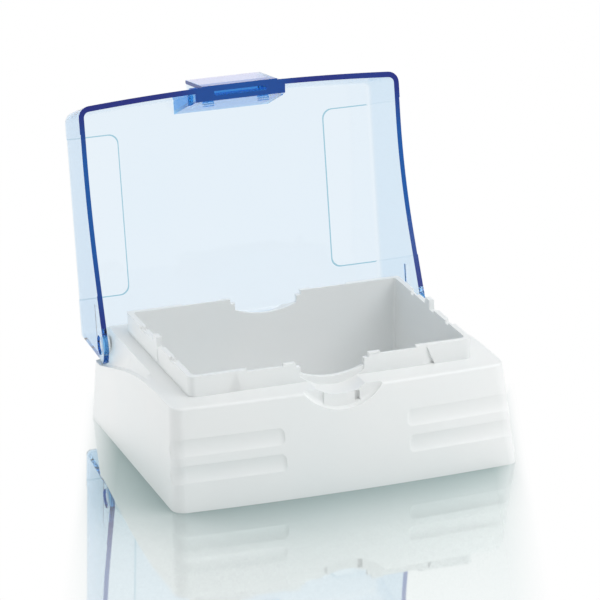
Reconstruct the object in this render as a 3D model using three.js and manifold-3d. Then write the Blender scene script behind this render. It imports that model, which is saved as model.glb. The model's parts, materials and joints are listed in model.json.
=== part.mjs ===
// Reusable box for pipette tips: a white moulded base with a raised tray seat round a deep well, and a
// clear blue lid that swings on two stubs moulded on the base. The box stands open.
// Millimetres, +Z up, X to the right and Y to the rear. The origin is the middle of the underside of
// the well floor, which lies on the table.
import * as THREE from "three";
import { mergeVertices } from "three/addons/utils/BufferGeometryUtils.js";
import Module from "manifold-3d";

const wasm = await Module();
wasm.setup();

// ---- Driving dimensions -----------------------------------------------------------------------

// Base shell
const footHalfWidth = 72;
const footFront = -56.75; // at the corners
const footRear = 57.4;
const baseHeight = 40;
const sideLean = 0.065; // inward lean of the side walls, per millimetre of height
const frontLean = 0.212;
const rearLean = 0.088;
const frontBow = 2.6; // how far the middle of the front wall stands before its ends
const shellCorner = 5; // upright corners at the front
const rearCorner = 1.6; // upright corners at the rear
const shellWall = 2.2;
const deckEdgeRadius = 1.1;
const leastRadius = 0.6; // of an inner corner

// Well and raised seat of the tray
const seatHalfWidth = 59.2;
const seatFront = -38.75;
const seatRear = 44.7;
const seatRise = 8.4; // above the deck
const seatWall = 2.3;
const seatCorner = 3;
const seatRearCorner = 1.2;
const wellCorner = 2; // upright corners inside the well, at the front
const wellDraft = 1.1; // a wall's inward run between the seat's rim and the floor
const floorThickness = 2.4;
const frontRimDrop = 0.8; // middle of the front wall lies this much lower than its ends
const frontRimDropReach = 35.3;
const frontRimThickness = 1.4; // of the lower middle part, at its top

// Finger notches, front and rear
const notchHalfWidth = 15.2;
const notchRadius = 33.5;
const notchRise = 0.8; // lowest point of the notch in the seat's wall, above the deck
const notchShoulder = 1.9; // height and width of the small step at the top of each side of a notch
const lipRecess = 0.6; // from the wall's outer face back to the notch's upright lip
const shelfRadius = 20.5;
const shelfDrop = 2.7; // lowest point of the shelf, below the deck
const scoopRadius = 21;
const scoopDrop = 8.2; // lowest point of the scoop in the shell's outer wall, below the deck
const scoopDepth = 2.1; // from the middle of the outer wall at the deck back to the scoop's upright face
const catchHalfWidth = 7.6;
const catchProud = 0.8; // of the scoop's upright face
const catchPocketWidth = 2.4;
const catchPocketHeight = 4.2;
const catchPocketDepth = 2.4;
const catchPocketFloor = 0.9; // between the pocket and the shelf

// Details of the seat's rim
const nubLength = 5;
const nubRise = 0.9;
const nubThickness = 1.8;
const postY = 3.2;
const postLength = 4.6;
const postRise = 2.7;
const sideNotchSpacing = 19.5;
const sideNotchLength = 7;
const sideNotchDepth = 1.1;
const sideNotchThroat = 3; // length of its narrower part through the inner half of the wall
const postNotchLength = 4.9; // low place in front of the post
const rearNotchInner = 20;
const rearNotchOuter = 35.5;
const rearNotchDepth = 0.8;
const nubSetback = 0.2; // of a nub from the wall's inner face
const slitWidth = 0.6;
const slitDepth = 1;
const slitFoot = 0.6; // above the deck
const rampX = 39.8; // of a wedge-shaped hollow's apex
const rampHalfWidth = 2.7;
const rampDepth = 1.5;
const rampSkew = 0.5; // of the hollow's foot, outwards

// Finger grips on the front wall
const gripHeights = [26.6, 16.5];
const gripHeight = 5.8;
const gripDepth = 0.7;
const gripInner = 25.5;
const gripRunout = 1.6;

// Hinge
const hingeInset = 8.3; // of the axis before the rear foot of the base
const hingeDrop = 6.2; // of the axis below the deck
const earRadius = 7.8;
const earHole = 8.2;
const stubClearance = 0.35;
const stubRecess = 1.2; // end of a stub below the outer face of its ear
const openAngle = 98;

// Lid
const closingGap = 0.3; // between the lid's front rim and the deck
const sideSeam = 0.6; // between the lid's side rims and the shoulders
const lidHeight = 31; // of the closed lid above the deck
const lidWall = 2.2;
const lidSideLean = 0.053;
const lidRearLean = 0.11;
const lidTopRadius = 3;
const lidCorner = 4.4;
const lidRearCorner = 2;
const rimSlope = 0.27; // fall of the side rims towards the hinge
const rimBlend = 50; // length of the curve between the level and the falling rim
const rearWallRise = 1.2; // foot of the lid's rear wall above the deck, where its inside has room to swing
const earSideGap = 0.45; // between an ear and the base's inset side face
const shoulderRun = 2.3; // slope between the inset side face and the edge of the deck

// Grip panels: shallow recesses that wrap from the lid's top over its sides
const panelInner = 45;
const panelFront = -31;
const panelRear = 37.4;
const panelDepth = 0.4;
const panelCorner = 4;
const panelLean = 0.22; // the panels lean with the front wall on the lid's sides

// Latch at the middle of the lid's front rim
const pocketHalfWidth = 18.8; // of the finger pocket
const pocketWall = 1.8;
const pocketLean = 0.293; // backward lean of the pocket's rear wall, per millimetre of height
const housingHalfWidth = 19.4;
const housingDepth = 6;
const housingHeight = 8.9; // above the front rim
const slotHalfWidth = 11.2;
const slotWidth = 1.9;
const slotWall = 2;
const thumbHeight = 23.5; // above the front rim
const thumbHalfWidth = 16.2;
const thumbThickness = 1.6;
const thumbProud = 0.3; // of the front rim
const thumbEdge = 0.5; // rounding of the thumb plate's top edge
const webDrop = 4.5; // fall of a web's curved upper edge between the plate and the pocket's rear wall
const hookHalfWidth = 2.3;
const hookX = 11.9;
const hookDepth = 0.6;
const hookHeight = 2.6;

// Working sizes
const beyond = 130; // outside the box on every side, where a cutting solid ends
const overlap = 1; // of a cutting or joined solid past the face that it works on
const hair = 0.01; // keeps a cutting face off the face beside it
const troughSteps = 16;
const roundSteps = 32;

// ---- Sizes that follow ------------------------------------------------------------------------

const seatTop = baseHeight + seatRise;
const lidTop = baseHeight + lidHeight;
const rearWallFoot = baseHeight + rearWallRise;
const hingeY = footRear - hingeInset;
const hingeZ = baseHeight - hingeDrop;
const rimFrontZ = baseHeight + closingGap;
const housingTop = rimFrontZ + housingHeight;
const thumbTop = rimFrontZ + thumbHeight;
const rimFrontY = frontAt(rimFrontZ) - frontBow;
const insetFaceX = halfWidthAt(hingeZ) - lidWall - earSideGap;

// Half width of the closed box at a height, base and lid together
function halfWidthAt(z) {
  const below = Math.min(z, baseHeight);
  return footHalfWidth - sideLean * below - lidSideLean * Math.max(z - baseHeight, 0);
}

// Corner line of the front wall at a height; the bow stands before it
function frontAt(z) {
  return footFront + frontLean * z;
}

// Bow of the front wall at a place along it
function bowAt(x, halfWidth) {
  return frontBow * Math.max(1 - (x / halfWidth) ** 2, 0);
}

function baseRearAt(z) {
  return footRear - rearLean * z;
}

function lidRearAt(z) {
  return hingeY + earRadius - lidRearLean * (z - hingeZ);
}

// ---- Solid helpers ----------------------------------------------------------------------------

function solidOf(geometry) {
  const bare = geometry.index ? geometry.toNonIndexed() : geometry.clone();
  bare.deleteAttribute("normal");
  bare.deleteAttribute("uv");
  const merged = mergeVertices(bare, 1e-5);
  const mesh = new wasm.Mesh({
    numProp: 3,
    vertProperties: new Float32Array(merged.attributes.position.array),
    triVerts: new Uint32Array(merged.index.array),
  });
  return new wasm.Manifold(mesh);
}

// Drops the hair-thin offcuts that a cut can leave
function largestBody(solid) {
  return solid.decompose().sort((a, b) => b.volume() - a.volume())[0];
}

// Box between two opposite corners
function block(x0, x1, y0, y1, z0, z1) {
  const geometry = new THREE.BoxGeometry(x1 - x0, y1 - y0, z1 - z0);
  geometry.translate((x0 + x1) / 2, (y0 + y1) / 2, (z0 + z1) / 2);
  return solidOf(geometry);
}

// Same block on the left and on the right
function pairOfBlocks(x0, x1, y0, y1, z0, z1) {
  return block(x0, x1, y0, y1, z0, z1).add(block(-x1, -x0, y0, y1, z0, z1));
}

function extruded(outline, length) {
  const shape = new THREE.Shape(outline.map(([a, b]) => new THREE.Vector2(a, b)));
  return new THREE.ExtrudeGeometry(shape, { depth: length, bevelEnabled: false });
}

// Outline in (y, z), run along X from x0 to x1
function alongX(outline, x0, x1) {
  const geometry = extruded(outline, x1 - x0);
  const toWorld = new THREE.Matrix4().makeBasis(
    new THREE.Vector3(0, 1, 0),
    new THREE.Vector3(0, 0, 1),
    new THREE.Vector3(1, 0, 0),
  );
  geometry.applyMatrix4(toWorld);
  geometry.translate(x0, 0, 0);
  return solidOf(geometry);
}

// Outline in (x, y), run up from z0 to z1 and then leaned over
function alongZ(outline, z0, z1, lean) {
  const geometry = extruded(outline, z1 - z0);
  geometry.translate(0, 0, z0);
  geometry.applyMatrix4(lean);
  return solidOf(geometry);
}

// Closed solid through a row of rings that have the same number of points
function loft(rings) {
  const count = rings[0].length;
  const positions = rings.flat().flatMap((point) => [point.x, point.y, point.z]);
  const triangles = [];
  for (let level = 0; level < rings.length - 1; level += 1) {
    for (let i = 0; i < count; i += 1) {
      const a = level * count + i;
      const b = level * count + ((i + 1) % count);
      triangles.push(a, b, b + count, a, b + count, a + count);
    }
  }
  for (const [level, flipped] of [[0, true], [rings.length - 1, false]]) {
    for (const [a, b, c] of capOf(rings[level])) {
      const base = level * count;
      triangles.push(base + a, base + (flipped ? c : b), base + (flipped ? b : c));
    }
  }
  const geometry = new THREE.BufferGeometry();
  geometry.setAttribute("position", new THREE.Float32BufferAttribute(positions, 3));
  geometry.setIndex(triangles);
  const solid = solidOf(geometry);
  return solid.volume() < 0 ? solidOf(turnedInsideOut(geometry)) : solid;
}

// Triangles over a flat ring, with the ring's own turn
function capOf(ring) {
  const normal = new THREE.Vector3();
  ring.forEach((point, i) => {
    normal.add(new THREE.Vector3().crossVectors(point, ring[(i + 1) % ring.length]));
  });
  normal.normalize();
  const across = new THREE.Vector3().subVectors(ring[1], ring[0]).normalize();
  const up = new THREE.Vector3().crossVectors(normal, across);
  const flat = ring.map((point) => new THREE.Vector2(point.dot(across), point.dot(up)));
  return THREE.ShapeUtils.triangulateShape(flat, []);
}

function turnedInsideOut(geometry) {
  const turned = geometry.clone();
  const index = Array.from(geometry.index.array);
  for (let i = 0; i < index.length; i += 3) {
    [index[i], index[i + 1]] = [index[i + 1], index[i]];
  }
  turned.setIndex(index);
  return turned;
}

// Level ring of a rounded oblong whose front side is bowed; counter-clockwise from above
function ring({ halfWidth, front, rear, corner, rearRadius, bow, z, frontSteps = 14 }) {
  const points = [];
  const turn = (side, y, radius, from, cornerSteps) => {
    const cx = side * (halfWidth - radius);
    for (let i = 0; i <= cornerSteps; i += 1) {
      const angle = from + (i / cornerSteps) * (Math.PI / 2);
      points.push([cx + radius * Math.cos(angle), y + radius * Math.sin(angle)]);
    }
  };
  turn(-1, front + corner, corner, Math.PI, 5);
  const straight = halfWidth - corner;
  for (let i = 1; i < frontSteps; i += 1) {
    points.push([-straight + (2 * straight * i) / frontSteps, front]);
  }
  turn(1, front + corner, corner, 1.5 * Math.PI, 5);
  turn(1, rear - rearRadius, rearRadius, 0, 3);
  turn(-1, rear - rearRadius, rearRadius, Math.PI / 2, 3);
  const reach = rear - front;
  return points.map(([x, y]) => {
    const share = Math.max((rear - y) / reach, 0); // the bow dies out towards the rear
    const bowed = y - bow * share * Math.max(1 - (x / halfWidth) ** 2, 0);
    return new THREE.Vector3(x, bowed, z);
  });
}

// Cylinder along X round the hinge
function hingeRound(radius, x0, x1) {
  const geometry = new THREE.CylinderGeometry(radius, radius, x1 - x0, roundSteps);
  geometry.rotateZ(Math.PI / 2);
  geometry.translate((x0 + x1) / 2, hingeY, hingeZ);
  return solidOf(geometry);
}

// Rounds both sides of the box the same way: f(x0, x1) for the right, mirrored for the left
function bothSides(make, x0, x1) {
  return make(x0, x1).add(make(-x1, -x0));
}

// ---- Rim line that base and lid share -----------------------------------------------------------

// Points (y, z) of the lid's side rim from the front to under the hinge, lowered by a gap
function rimLine(gap) {
  const radius = earRadius + gap;
  const angle = Math.atan(rimSlope);
  const touchY = hingeY - radius * Math.sin(angle);
  const touchZ = hingeZ - radius * Math.cos(angle);
  const level = rimFrontZ - gap;
  const middle = touchY - (level - touchZ) / rimSlope;
  const points = [[-beyond, level]];
  const steps = 10;
  for (let i = 0; i <= steps; i += 1) {
    const run = (rimBlend * i) / steps;
    points.push([middle - rimBlend / 2 + run, level - (rimSlope * run * run) / (2 * rimBlend)]);
  }
  const arcSteps = 4;
  for (let i = 0; i <= arcSteps; i += 1) {
    const turn = angle * (1 - i / arcSteps);
    points.push([hingeY - radius * Math.sin(turn), hingeZ - radius * Math.cos(turn)]);
  }
  return points;
}

// ---- Base -------------------------------------------------------------------------------------

function shellRing(z, inset) {
  return ring({
    halfWidth: footHalfWidth - sideLean * z - inset,
    front: frontAt(z) + inset,
    rear: baseRearAt(z) - inset,
    corner: Math.max(shellCorner - inset, leastRadius),
    rearRadius: Math.max(rearCorner - inset, leastRadius),
    bow: frontBow,
    z,
  });
}

// Outer form of the base, with the deck's edge rounded over
function shellOutside() {
  const rings = [shellRing(0, 0)];
  const steps = 3;
  for (let i = 0; i <= steps; i += 1) {
    const angle = (i / steps) * (Math.PI / 2);
    const inset = deckEdgeRadius * (1 - Math.cos(angle));
    rings.push(shellRing(baseHeight - deckEdgeRadius * (1 - Math.sin(angle)), inset));
  }
  return loft(rings);
}

function shellInside() {
  return loft([shellRing(-overlap, shellWall), shellRing(baseHeight - shellWall, shellWall)]);
}

function wellRing(z, inset, corner) {
  const fall = wellDraft * Math.max((seatTop - z) / seatTop, 0);
  return ring({
    halfWidth: seatHalfWidth - inset - fall,
    front: seatFront + inset + fall,
    rear: seatRear - inset - fall,
    corner,
    rearRadius: seatRearCorner,
    bow: 0,
    z,
    frontSteps: 2,
  });
}

function wellOutside() {
  return loft([wellRing(0, 0, seatCorner), wellRing(seatTop, 0, seatCorner)]);
}

function wellInside() {
  const levels = [floorThickness, seatTop, seatTop + beyond];
  return loft(levels.map((z) => wellRing(z, seatWall, wellCorner)));
}

// Space over the shoulders, where the lid's sides and ears come down on the base
function shoulderCut() {
  const line = rimLine(sideSeam);
  const bottom = line.at(-1);
  const outside = footHalfWidth + overlap;
  const above = seatTop;
  const path = [...line, [beyond, bottom[1]]];
  const section = ([y, z], side) => {
    const slopeX = insetFaceX - shoulderRun;
    return [
      [outside, z],
      [insetFaceX, z],
      [slopeX, baseHeight + hair],
      [slopeX, above],
      [outside, above],
    ].map(([x, height]) => new THREE.Vector3(side * x, y, height));
  };
  const sides = [1, -1].map((side) => loft(path.map((point) => section(point, side))));
  return sides[0].add(sides[1]);
}

// Upright section of a round trough at a place along Y: an arc up to the half width, open at the top
function troughRing({ y, radius, lowest, halfWidth, top }) {
  const rise = Math.min((top - overlap / 2 - lowest) / radius, 1);
  const half = Math.min(Math.asin(Math.min(halfWidth / radius, 1)), Math.acos(1 - rise));
  const points = [];
  for (let i = 0; i <= troughSteps; i += 1) {
    const angle = -half + (2 * half * i) / troughSteps;
    points.push(new THREE.Vector3(radius * Math.sin(angle), y, lowest + radius * (1 - Math.cos(angle))));
  }
  points.push(new THREE.Vector3(radius * Math.sin(half), y, top));
  points.push(new THREE.Vector3(-radius * Math.sin(half), y, top));
  return points;
}

// One finger notch: a shallow arc through the seat's wall, a rounder shelf before it, and a scoop in
// the shell's outer wall. direction is -1 at the front and 1 at the rear
function fingerNotch(direction, wallFace, outerFace) {
  const top = seatTop + beyond;
  const halfWidth = notchHalfWidth - notchShoulder;
  const lip = wallFace - direction * lipRecess;
  const inner = wallFace - direction * (seatWall + overlap);
  const face = outerFace - direction * scoopDepth;
  const notch = { radius: notchRadius, lowest: baseHeight + notchRise, halfWidth, top };
  const shelf = { radius: shelfRadius, lowest: baseHeight - shelfDrop, halfWidth, top };
  const scoop = { radius: scoopRadius, lowest: baseHeight - scoopDrop, halfWidth: scoopRadius, top };
  const opening = loft([
    troughRing({ y: inner, ...notch }),
    troughRing({ y: lip, ...notch }),
    troughRing({ y: lip, ...shelf }),
    troughRing({ y: face, ...shelf }),
  ]);
  const gap = loft([
    troughRing({ y: face, ...scoop }),
    troughRing({ y: outerFace + direction * frontBow * 2, ...scoop }),
  ]);
  const [near, far] = [inner, wallFace + direction * overlap].sort((a, b) => a - b);
  const shoulder = block(-notchHalfWidth, notchHalfWidth, near, far, seatTop - notchShoulder, top);
  return opening.add(gap).add(shoulder);
}

// Wall under a notch and behind its scoop, as thick as the shell
function notchLining(direction, wallFace, outerFace) {
  const top = baseHeight - shellWall / 2;
  const face = outerFace - direction * scoopDepth;
  const lined = (y, radius, drop) => {
    const lowest = baseHeight - drop - shellWall;
    return troughRing({ y, radius: radius + shellWall, lowest, halfWidth: radius + shellWall, top });
  };
  const underShelf = loft([
    lined(wallFace - direction * lipRecess, shelfRadius, shelfDrop),
    lined(face, shelfRadius, shelfDrop),
  ]);
  const behindScoop = loft([
    lined(face - direction * shellWall, scoopRadius, scoopDrop),
    lined(outerFace, scoopRadius, scoopDrop),
  ]);
  return underShelf.add(behindScoop);
}

// Block in the front scoop that the latch closes over. Its top carries the notch's shelf forward,
// and its right end has a pocket
function catchBlock(outerFace) {
  const back = outerFace + scoopDepth;
  const face = back - catchProud;
  const foot = baseHeight - scoopDrop - overlap;
  const body = block(-catchHalfWidth, catchHalfWidth, face, back + shellWall / 2, foot, baseHeight);
  const shelf = {
    radius: shelfRadius,
    lowest: baseHeight - shelfDrop,
    halfWidth: catchHalfWidth + overlap,
    top: seatTop + beyond,
  };
  const above = loft([
    troughRing({ y: face - overlap, ...shelf }),
    troughRing({ y: back + shellWall, ...shelf }),
  ]);
  const pocketTop = baseHeight - shelfDrop - catchPocketFloor + catchHalfWidth ** 2 / (2 * shelfRadius);
  const pocket = block(
    catchHalfWidth - catchPocketWidth,
    catchHalfWidth + hair,
    face - overlap,
    face + catchPocketDepth,
    pocketTop - catchPocketHeight,
    pocketTop,
  );
  return { solid: body.subtract(above), pocket };
}

// Shallow horizontal finger grip, following the bow and the lean of the front wall
function gripCut(z, side) {
  const radius = ((gripHeight / 2) ** 2 + gripDepth ** 2) / (2 * gripDepth);
  const steps = 8;
  const outer = footHalfWidth;
  const section = (x, shrink) => {
    const past = Math.min(Math.max(x - halfWidthAt(z) + shellCorner, 0), shellCorner - hair);
    const round = shellCorner - Math.sqrt(shellCorner ** 2 - past ** 2);
    const centre = frontAt(z) - bowAt(x, halfWidthAt(z)) + round - radius + gripDepth;
    const points = [];
    for (let i = 0; i < roundSteps; i += 1) {
      const angle = (i / roundSteps) * 2 * Math.PI;
      const r = radius - shrink;
      points.push(new THREE.Vector3(side * x, centre + r * Math.cos(angle), z + r * Math.sin(angle)));
    }
    return points;
  };
  const rings = [section(gripInner, gripDepth + hair)];
  for (let i = 0; i <= steps; i += 1) {
    rings.push(section(gripInner + gripRunout + ((outer - gripInner - gripRunout) * i) / steps, 0));
  }
  return loft(rings);
}

// Wedge-shaped hollow where the middle of the seat's front wall leaves its ends
function rampHollow(side) {
  const outline = [
    [-rampHalfWidth - rampSkew, baseHeight + hair],
    [rampHalfWidth - rampSkew, baseHeight + hair],
    [0, seatTop - frontRimDrop],
  ];
  const geometry = extruded(outline, rampDepth + overlap);
  geometry.rotateX(Math.PI / 2);
  geometry.translate(-rampX, seatFront + rampDepth, 0);
  if (side > 0) {
    geometry.scale(-1, 1, 1);
    return solidOf(turnedInsideOut(mergeVertices(geometry)));
  }
  return solidOf(geometry);
}

function seatRimDetails(base) {
  const top = seatTop;
  const over = seatTop + beyond;
  const middle = seatWall / 2;
  const outerX = seatHalfWidth + overlap;
  const middleX = seatHalfWidth - middle;
  const innerX = seatHalfWidth - seatWall - overlap;
  const frontY = seatFront - overlap;
  const innerY = seatFront + seatWall + overlap;
  // The front wall's middle is lower and thinner than its ends
  const middleTop = top - frontRimDrop;
  const thinTop = middleTop - frontRimDrop;
  const reach = frontRimDropReach;
  const cuts = [
    block(-reach, reach, frontY, innerY, middleTop, over),
    block(-reach, reach, seatFront + frontRimThickness, innerY, thinTop, over),
  ];
  // Low places in the outer half of the side walls, either side of the post
  const lowTop = top - sideNotchDepth;
  for (const y of [postY + sideNotchSpacing, postY - sideNotchSpacing]) {
    const [half, throat] = [sideNotchLength / 2, sideNotchThroat / 2];
    cuts.push(pairOfBlocks(middleX, outerX, y - half, y + half, lowTop, over));
    cuts.push(pairOfBlocks(innerX, middleX, y - throat, y + throat, lowTop, over));
  }
  cuts.push(pairOfBlocks(innerX, outerX, postY - postNotchLength, postY, lowTop, over));
  // Low places in the outer half of the rear wall
  const [rearY, rearTop] = [seatRear + overlap, top - rearNotchDepth];
  cuts.push(pairOfBlocks(rearNotchInner, rearNotchOuter, seatRear - middle, rearY, rearTop, over));
  // Nubs beside the front notch
  const nubRear = seatFront + seatWall - nubSetback;
  const nubOuter = notchHalfWidth + nubLength;
  const [nubFoot, nubTop] = [thinTop - overlap, middleTop + nubRise];
  const nubs = pairOfBlocks(notchHalfWidth, nubOuter, nubRear - nubThickness, nubRear, nubFoot, nubTop);
  // Post that keys the tray, and the slit in front of its foot
  const postX = seatHalfWidth - seatWall;
  const [postFoot, postTop] = [lowTop - overlap, top + postRise];
  const posts = pairOfBlocks(postX, seatHalfWidth, postY, postY + postLength, postFoot, postTop);
  const slitX = seatHalfWidth - slitDepth;
  const slits = pairOfBlocks(slitX, outerX, postY - slitWidth, postY, baseHeight + slitFoot, over);
  const worked = cuts.reduce((solid, cut) => solid.subtract(cut), base);
  return worked.add(nubs).add(posts).subtract(slits);
}

// Stubs that the lid's ears turn on
function hingeStubs() {
  const radius = earHole / 2 - stubClearance;
  const outer = halfWidthAt(hingeZ) - stubRecess;
  return bothSides((x0, x1) => hingeRound(radius, x0, x1), insetFaceX - overlap, outer);
}

function makeBase() {
  const frontFace = frontAt(baseHeight) - frontBow;
  const rearFace = baseRearAt(baseHeight);
  const frontNotch = fingerNotch(-1, seatFront, frontFace);
  const rearNotch = fingerNotch(1, seatRear, rearFace);
  const outside = shellOutside();
  const hollow = shellInside().subtract(wellOutside()).subtract(shoulderLining());
  const linings = notchLining(-1, seatFront, frontFace).add(notchLining(1, seatRear, rearFace));
  let base = outside.add(wellOutside());
  base = base.subtract(hollow.subtract(linings));
  base = base.subtract(frontNotch).subtract(rearNotch);
  const latchCatch = catchBlock(frontFace);
  base = base.add(latchCatch.solid).subtract(latchCatch.pocket);
  base = base.subtract(wellInside());
  base = seatRimDetails(base);
  base = base.subtract(shoulderCut());
  for (const side of [-1, 1]) {
    for (const z of gripHeights) {
      base = base.subtract(gripCut(z, side));
    }
    base = base.subtract(rampHollow(side));
  }
  return base.add(hingeStubs());
}

// Wall behind the shoulders, so that the shell stays closed where the shoulders are cut away
function shoulderLining() {
  const line = rimLine(sideSeam);
  const depth = shellWall;
  const path = [...line, [beyond, line.at(-1)[1]]];
  const above = seatTop;
  const outside = footHalfWidth + overlap;
  const section = ([y, z], side) => {
    return [
      [outside, z - depth],
      [insetFaceX - depth, z - depth],
      [insetFaceX - depth - shoulderRun, baseHeight - depth],
      [insetFaceX - depth - shoulderRun, above],
      [outside, above],
    ].map(([x, height]) => new THREE.Vector3(side * x, y, height));
  };
  const sides = [1, -1].map((side) => loft(path.map((point) => section(point, side))));
  return sides[0].add(sides[1]);
}

// ---- Lid, modelled closed -----------------------------------------------------------------------

function lidRing(z, inset) {
  return ring({
    halfWidth: halfWidthAt(z) - inset,
    front: frontAt(z) + inset,
    rear: lidRearAt(z) - inset,
    corner: Math.max(lidCorner - inset, leastRadius),
    rearRadius: Math.max(lidRearCorner - inset, leastRadius),
    bow: frontBow,
    z,
  });
}

// Lid's form at a depth below its outer surface
function lidForm(depth, foot) {
  const top = lidTop - depth;
  const radius = Math.max(lidTopRadius - depth, leastRadius);
  const rings = [lidRing(foot, depth), lidRing(baseHeight, depth)];
  const steps = 4;
  for (let i = 0; i <= steps; i += 1) {
    const angle = (i / steps) * (Math.PI / 2);
    rings.push(lidRing(top - radius * (1 - Math.sin(angle)), depth + radius * (1 - Math.cos(angle))));
  }
  return loft(rings);
}

const lidFoot = hingeZ - earRadius - overlap;

function belowRim() {
  const line = rimLine(0);
  const arc = [];
  const steps = 6;
  for (let i = 1; i <= steps; i += 1) {
    const angle = (i / steps) * (Math.PI / 2);
    arc.push([hingeY + earRadius * Math.sin(angle), hingeZ - earRadius * Math.cos(angle)]);
  }
  const far = beyond;
  const outline = [...line, ...arc, [far, hingeZ], [far, -far], [-far, -far]];
  return alongX(outline, -far, far);
}

// Shallow grip panels on the top and the sides
function gripPanels() {
  const outside = lidForm(-overlap, lidFoot - overlap);
  const skin = outside.subtract(lidForm(panelDepth, lidFoot - 2 * overlap));
  const outer = footHalfWidth + overlap;
  const outline = [[outer, panelFront]];
  const steps = 4;
  for (const [y, from] of [[panelRear - panelCorner, Math.PI / 2], [panelFront + panelCorner, Math.PI]]) {
    for (let i = 0; i <= steps; i += 1) {
      const angle = from + (i / steps) * (Math.PI / 2);
      outline.push([
        panelInner + panelCorner + panelCorner * Math.cos(angle),
        y + panelCorner * Math.sin(angle),
      ]);
    }
  }
  outline.splice(1, 0, [outer, panelRear]);
  const mirrored = outline.map(([x, y]) => [-x, y]).reverse();
  const bottom = lidFoot - overlap;
  const lean = new THREE.Matrix4().makeShear(0, 0, 0, 0, 0, panelLean);
  lean.setPosition(0, -panelLean * lidTop, 0);
  const columns = [outline, mirrored].map((side) => {
    return alongZ(side, bottom, lidTop + 2 * overlap, lean);
  });
  return skin.intersect(columns[0].add(columns[1]));
}

// Inner face of the finger pocket's rear wall, which runs on down to the rim behind the housing
function pocketRearAt(z) {
  return rimFrontY + housingDepth + pocketLean * (z - rimFrontZ);
}

// Space of the finger pocket, grown sideways, down and backwards where asked
function pocketSpace(grow) {
  const bottom = housingTop - grow;
  const outline = [
    [-beyond, bottom],
    [pocketRearAt(bottom) - pocketWall + grow, bottom],
    [pocketRearAt(lidTop) - pocketWall + grow, lidTop],
    [pocketRearAt(lidTop) - pocketWall + grow, beyond],
    [-beyond, beyond],
  ];
  return alongX(outline, -pocketHalfWidth - grow, pocketHalfWidth + grow);
}

// Housing under the pocket that comes down before the catch, with a slot in its underside
function latchHousing() {
  const front = rimFrontY + lidWall / 2;
  const outline = [
    [front, rimFrontZ],
    [pocketRearAt(rimFrontZ), rimFrontZ],
    [pocketRearAt(housingTop), housingTop],
    [front, housingTop],
  ];
  const outside = alongX(outline, -housingHalfWidth, housingHalfWidth);
  const rear = pocketRearAt(rimFrontZ) - slotWall;
  const slot = block(
    -slotHalfWidth,
    slotHalfWidth,
    rear - slotWidth,
    rear,
    rimFrontZ - lidWall,
    housingTop - slotWall,
  );
  return { outside, slot };
}

// Thumb plate: upright from the rim before the leaning front wall, with a web at each end that runs
// back to the pocket's rear wall
function thumbPlate() {
  const front = rimFrontY - thumbProud;
  const back = front + thumbThickness;
  const plate = alongX(
    [
      [front, rimFrontZ],
      [back, rimFrontZ],
      [back, thumbTop - thumbEdge],
      [back - thumbEdge, thumbTop],
      [front + thumbEdge, thumbTop],
      [front, thumbTop - thumbEdge],
    ],
    -thumbHalfWidth,
    thumbHalfWidth,
  );
  const webRear = pocketRearAt(thumbTop - webDrop) - pocketWall / 2;
  const upper = [];
  const steps = 6;
  for (let i = 0; i <= steps; i += 1) {
    const share = i / steps;
    const y = webRear + (front + thumbEdge - webRear) * share;
    upper.push([y, thumbTop - webDrop * (1 - share) ** 2]);
  }
  const foot = [pocketRearAt(housingTop) - pocketWall, housingTop - overlap];
  const outline = [[front + thumbEdge, rimFrontZ], foot, ...upper];
  const webInner = thumbHalfWidth - thumbThickness;
  const webs = bothSides((x0, x1) => alongX(outline, x0, x1), webInner, thumbHalfWidth);
  return plate.add(webs);
}

// Small hooks at the housing's rear upper edge
function latchHooks() {
  const rear = pocketRearAt(housingTop);
  return pairOfBlocks(
    hookX - hookHalfWidth,
    hookX + hookHalfWidth,
    rear - pocketWall / 2,
    rear + hookDepth,
    housingTop - hookHeight,
    housingTop,
  );
}

function makeLid() {
  let walls = lidForm(0, lidFoot).subtract(lidForm(lidWall, lidFoot - overlap));
  // Back and sides of the finger pocket, kept inside the lid's own form
  const pocketWalls = pocketSpace(pocketWall).intersect(lidForm(0, rimFrontZ));
  walls = walls.add(pocketWalls).subtract(pocketSpace(0));
  const housing = latchHousing();
  walls = walls.add(housing.outside).add(thumbPlate()).add(latchHooks()).subtract(housing.slot);
  // The rear wall ends above the deck, and only the ears reach down beside the base
  const inside = insetFaceX + earSideGap;
  walls = walls.subtract(block(-inside, inside, hingeY - 2 * earRadius, beyond, -beyond, rearWallFoot));
  walls = walls.subtract(belowRim());
  walls = walls.subtract(bothSides((x0, x1) => hingeRound(earHole / 2, x0, x1), insetFaceX, beyond));
  return largestBody(walls.subtract(gripPanels()));
}

// ---- Scene --------------------------------------------------------------------------------------

const whitePlastic = new THREE.MeshStandardMaterial({ color: 0xeef0ef, roughness: 0.38, metalness: 0 });
const bluePlastic = new THREE.MeshStandardMaterial({
  color: 0xa9d3ec,
  roughness: 0.12,
  metalness: 0,
  transparent: true,
  opacity: 0.45,
});

function meshOf(solid, name, material) {
  const { vertProperties, triVerts } = solid.getMesh();
  const geometry = new THREE.BufferGeometry();
  geometry.setAttribute("position", new THREE.Float32BufferAttribute(vertProperties, 3));
  geometry.setIndex(Array.from(triVerts));
  geometry.computeVertexNormals();
  const mesh = new THREE.Mesh(geometry, material);
  mesh.name = name;
  return mesh;
}

const tipBox = new THREE.Group();
tipBox.add(meshOf(makeBase(), "base", whitePlastic));

const lidPivot = new THREE.Group();
lidPivot.position.set(0, hingeY, hingeZ);
lidPivot.rotation.x = -THREE.MathUtils.degToRad(openAngle);
const lid = meshOf(makeLid(), "lid", bluePlastic);
lid.geometry.translate(0, -hingeY, -hingeZ);
lidPivot.add(lid);
tipBox.add(lidPivot);

export default tipBox;
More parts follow.
